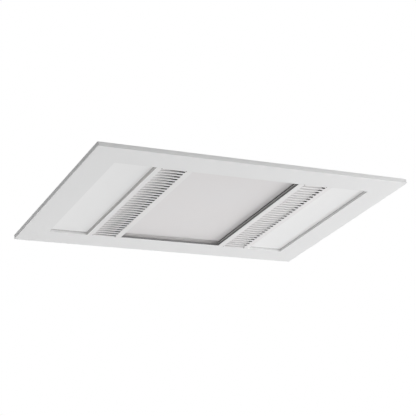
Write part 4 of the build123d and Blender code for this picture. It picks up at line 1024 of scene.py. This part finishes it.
# %% [markdown]
# ## Rivets and spot welds
# Rivets hold the hanging brackets, the wire guides and the clamp brackets, which all sit inside
# the walls, so their round heads show outside. The folded corners are joined by spot welds,
# which leave shallow round marks in a row. Both are short domes, so only their spots are new.

# %% Rivets and spot welds
bracket_height, guide_height, clamp_height = 69.5, 17.5, 46.5
bracket_rivets = ((-heater_x, bracket_height), (heater_x, bracket_height))
guide_rivets = ((-60, guide_height), (60, guide_height))
pair_half, clamp_inset = 5, 11

rivet_spots = [
    ((x + across, way[1] * box_y, height), way, right_way)
    for way in (near_way, far_way)
    for x, height in bracket_rivets + guide_rivets
    for across in (-pair_half, pair_half)
]
rivet_spots += [
    ((side * box_x, end * (box_y - clamp_inset), clamp_height), (side, 0, 0), far_way)
    for side in (-1, 1) for end in (-1, 1)
]
rivet_size = {"Width": 6.0, "Height": 1.6}
grow("rivets", dome_tree, rivet_spots, rivet_size, "chassis", "zinc_screw")

first_weld, weld_pitch, weld_count, weld_inset = 60, 22, 6, 7
weld_spots = [
    ((side * box_x, end * (box_y - weld_inset), first_weld + weld_pitch * step), (side, 0, 0), far_way)
    for side in (-1, 1) for end in (-1, 1) for step in range(weld_count)
]
weld_size = {"Width": 5.0, "Height": 0.35}
grow("spot_welds", dome_tree, weld_spots, weld_size, "chassis", "galvanised")

# %% [markdown]
# ## Corner laps
# The four walls are folded down from one blank, and each corner has a narrow flap that laps
# over the end wall. It is a thin strip with its edges rounded off, so a plain prism with a
# small Bevel modifier does it.

# %% Corner laps
lap_width, lap_sheet, lap_low, lap_high, lap_taper = 14.0, 0.8, 52.0, 176.0, 6


def lap_mesh(name):
    """The four laps as one mesh, with tapered lower and upper ends."""
    shell = bmesh.new()
    for side, end in ((-1, -1), (-1, 1), (1, -1), (1, 1)):
        edge, inner = end * box_y, end * (box_y - lap_width)
        low, high = (inner, lap_low + lap_taper), (inner, lap_high - lap_taper)
        outline = [(edge, lap_low), low, high, (edge, lap_high)]
        faces = []
        for depth in (0.0, lap_sheet):
            x = side * (box_x + depth)
            faces.append([shell.verts.new((x * mm, y * mm, z * mm)) for y, z in outline])
        shell.faces.new(faces[0])
        shell.faces.new(list(reversed(faces[1])))
        for step in range(4):
            after = (step + 1) % 4
            shell.faces.new((faces[0][step], faces[0][after], faces[1][after], faces[1][step]))
    return close_mesh(name, shell)


corner_laps = add_piece("corner_laps", lap_mesh("corner_laps"), "chassis", "galvanised")
lap_edges = corner_laps.modifiers.new("lap_edges", "BEVEL")
lap_edges.width = 0.3 * mm
lap_edges.segments = 2

# %% [markdown]
# ## The duct collar
# The collar has a bead that keeps a clamped hose on, and a rolled edge at its mouth. Both run
# right round, so they are two rings of the same tree, placed by the collar's own box.

# %% Collar beads
spigot_low, spigot_high = corners_in_mm("duct_spigot")
spigot_middle = (spigot_low + spigot_high) / 2
collar_radius = 49.2
hose_bead_back, rolled_edge_back = 12.0, 0.8
collar_spots = [
    ((spigot_middle.x, spigot_high.y - back, spigot_middle.z), far_way, right_way)
    for back in (hose_bead_back, rolled_edge_back)
]
collar_size = {"Ring Radius": collar_radius, "Bead Radius": 0.8}
grow("collar_beads", ring_tree, collar_spots, collar_size, "chassis", "galvanised")

# %% [markdown]
# ## The terminal box
# The sides of the terminal box have round knock-outs for more cables, and its cover has raised
# ribs. The knock-outs are fine rings rather than cut lines, because a ring needs no change to
# the CAD node, and the ribs are drawn-out domes.

# %% Knock-outs and ribs
terminal_low, terminal_high = corners_in_mm("terminal_box")
terminal = (terminal_low + terminal_high) / 2
knock_out_half_gap = 15
knock_spots = [
    ((terminal.x + across, terminal_high.y, terminal.z), far_way, right_way)
    for across in (-knock_out_half_gap, knock_out_half_gap)
]
knock_spots += [
    ((terminal_low.x, terminal.y, terminal.z), left_way, far_way),
    ((terminal_high.x, terminal.y, terminal.z), right_way, far_way),
]
knock_out_size = {"Ring Radius": 8.5, "Bead Radius": 0.35}
grow("knock_outs", ring_tree, knock_spots, knock_out_size, "chassis", "grey_plastic")

cover_top = corners_in_mm("terminal_cover")[1].z
rib_pitch, rib_sink = 6, 0.2
rib_spots = [
    ((terminal.x, terminal.y + rib_pitch * step, cover_top - rib_sink), up, right_way)
    for step in range(-2, 3)
]
rib_size = {"Width": 2.2, "Height": 0.8, "Extra Length": 48}
grow("cover_ribs", dome_tree, rib_spots, rib_size, "chassis", "grey_plastic")

# %% [markdown]
# ## The tungsten coils
# Inside each quartz tube a long coil of tungsten wire glows when the heater is on. A fourth tree
# carries a thin round profile along a spiral. Nobody sees the coils through the white glass, but
# they belong to the lamp, and they show when the glass is taken off the model.

# %% Tungsten coils
coil_inputs = {"Coil Radius": 1.8, "Wire Radius": 0.3, "Coil Length": 200}
coil_tree, coil_in, coil_out = new_tree("wire_coil", coil_inputs)
spiral = coil_tree.nodes.new("GeometryNodeCurveSpiral")
set_inputs(spiral, {"Resolution": 10, "Rotations": 90.0})
for label in ("Start Radius", "End Radius"):
    coil_tree.links.new(coil_in.outputs["Coil Radius"], spiral.inputs[label])
coil_tree.links.new(coil_in.outputs["Coil Length"], spiral.inputs["Height"])
coil = sweep(coil_tree, spiral, 5, coil_in.outputs["Wire Radius"])
coil.inputs["Fill Caps"].default_value = True
put_on_points(coil_tree, coil_in, coil_out, coil.outputs["Mesh"])

coil_end_gap = 6.0
coil_half = tube_half / mm - coil_end_gap
coil_size = {"Coil Radius": 2.0, "Wire Radius": 0.35, "Coil Length": 2 * coil_half}
for side_name, _ in sides:
    tube_low, tube_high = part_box(f"halogen_tube_{side_name}")
    tube_middle = (tube_low + tube_high) / (2 * mm)
    coil_spots = [((tube_middle.x, -coil_half, tube_middle.z), far_way, right_way)]
    coil_name = f"tungsten_coil_{side_name}"
    grow(coil_name, coil_tree, coil_spots, coil_size, "chassis", "spring_wire")
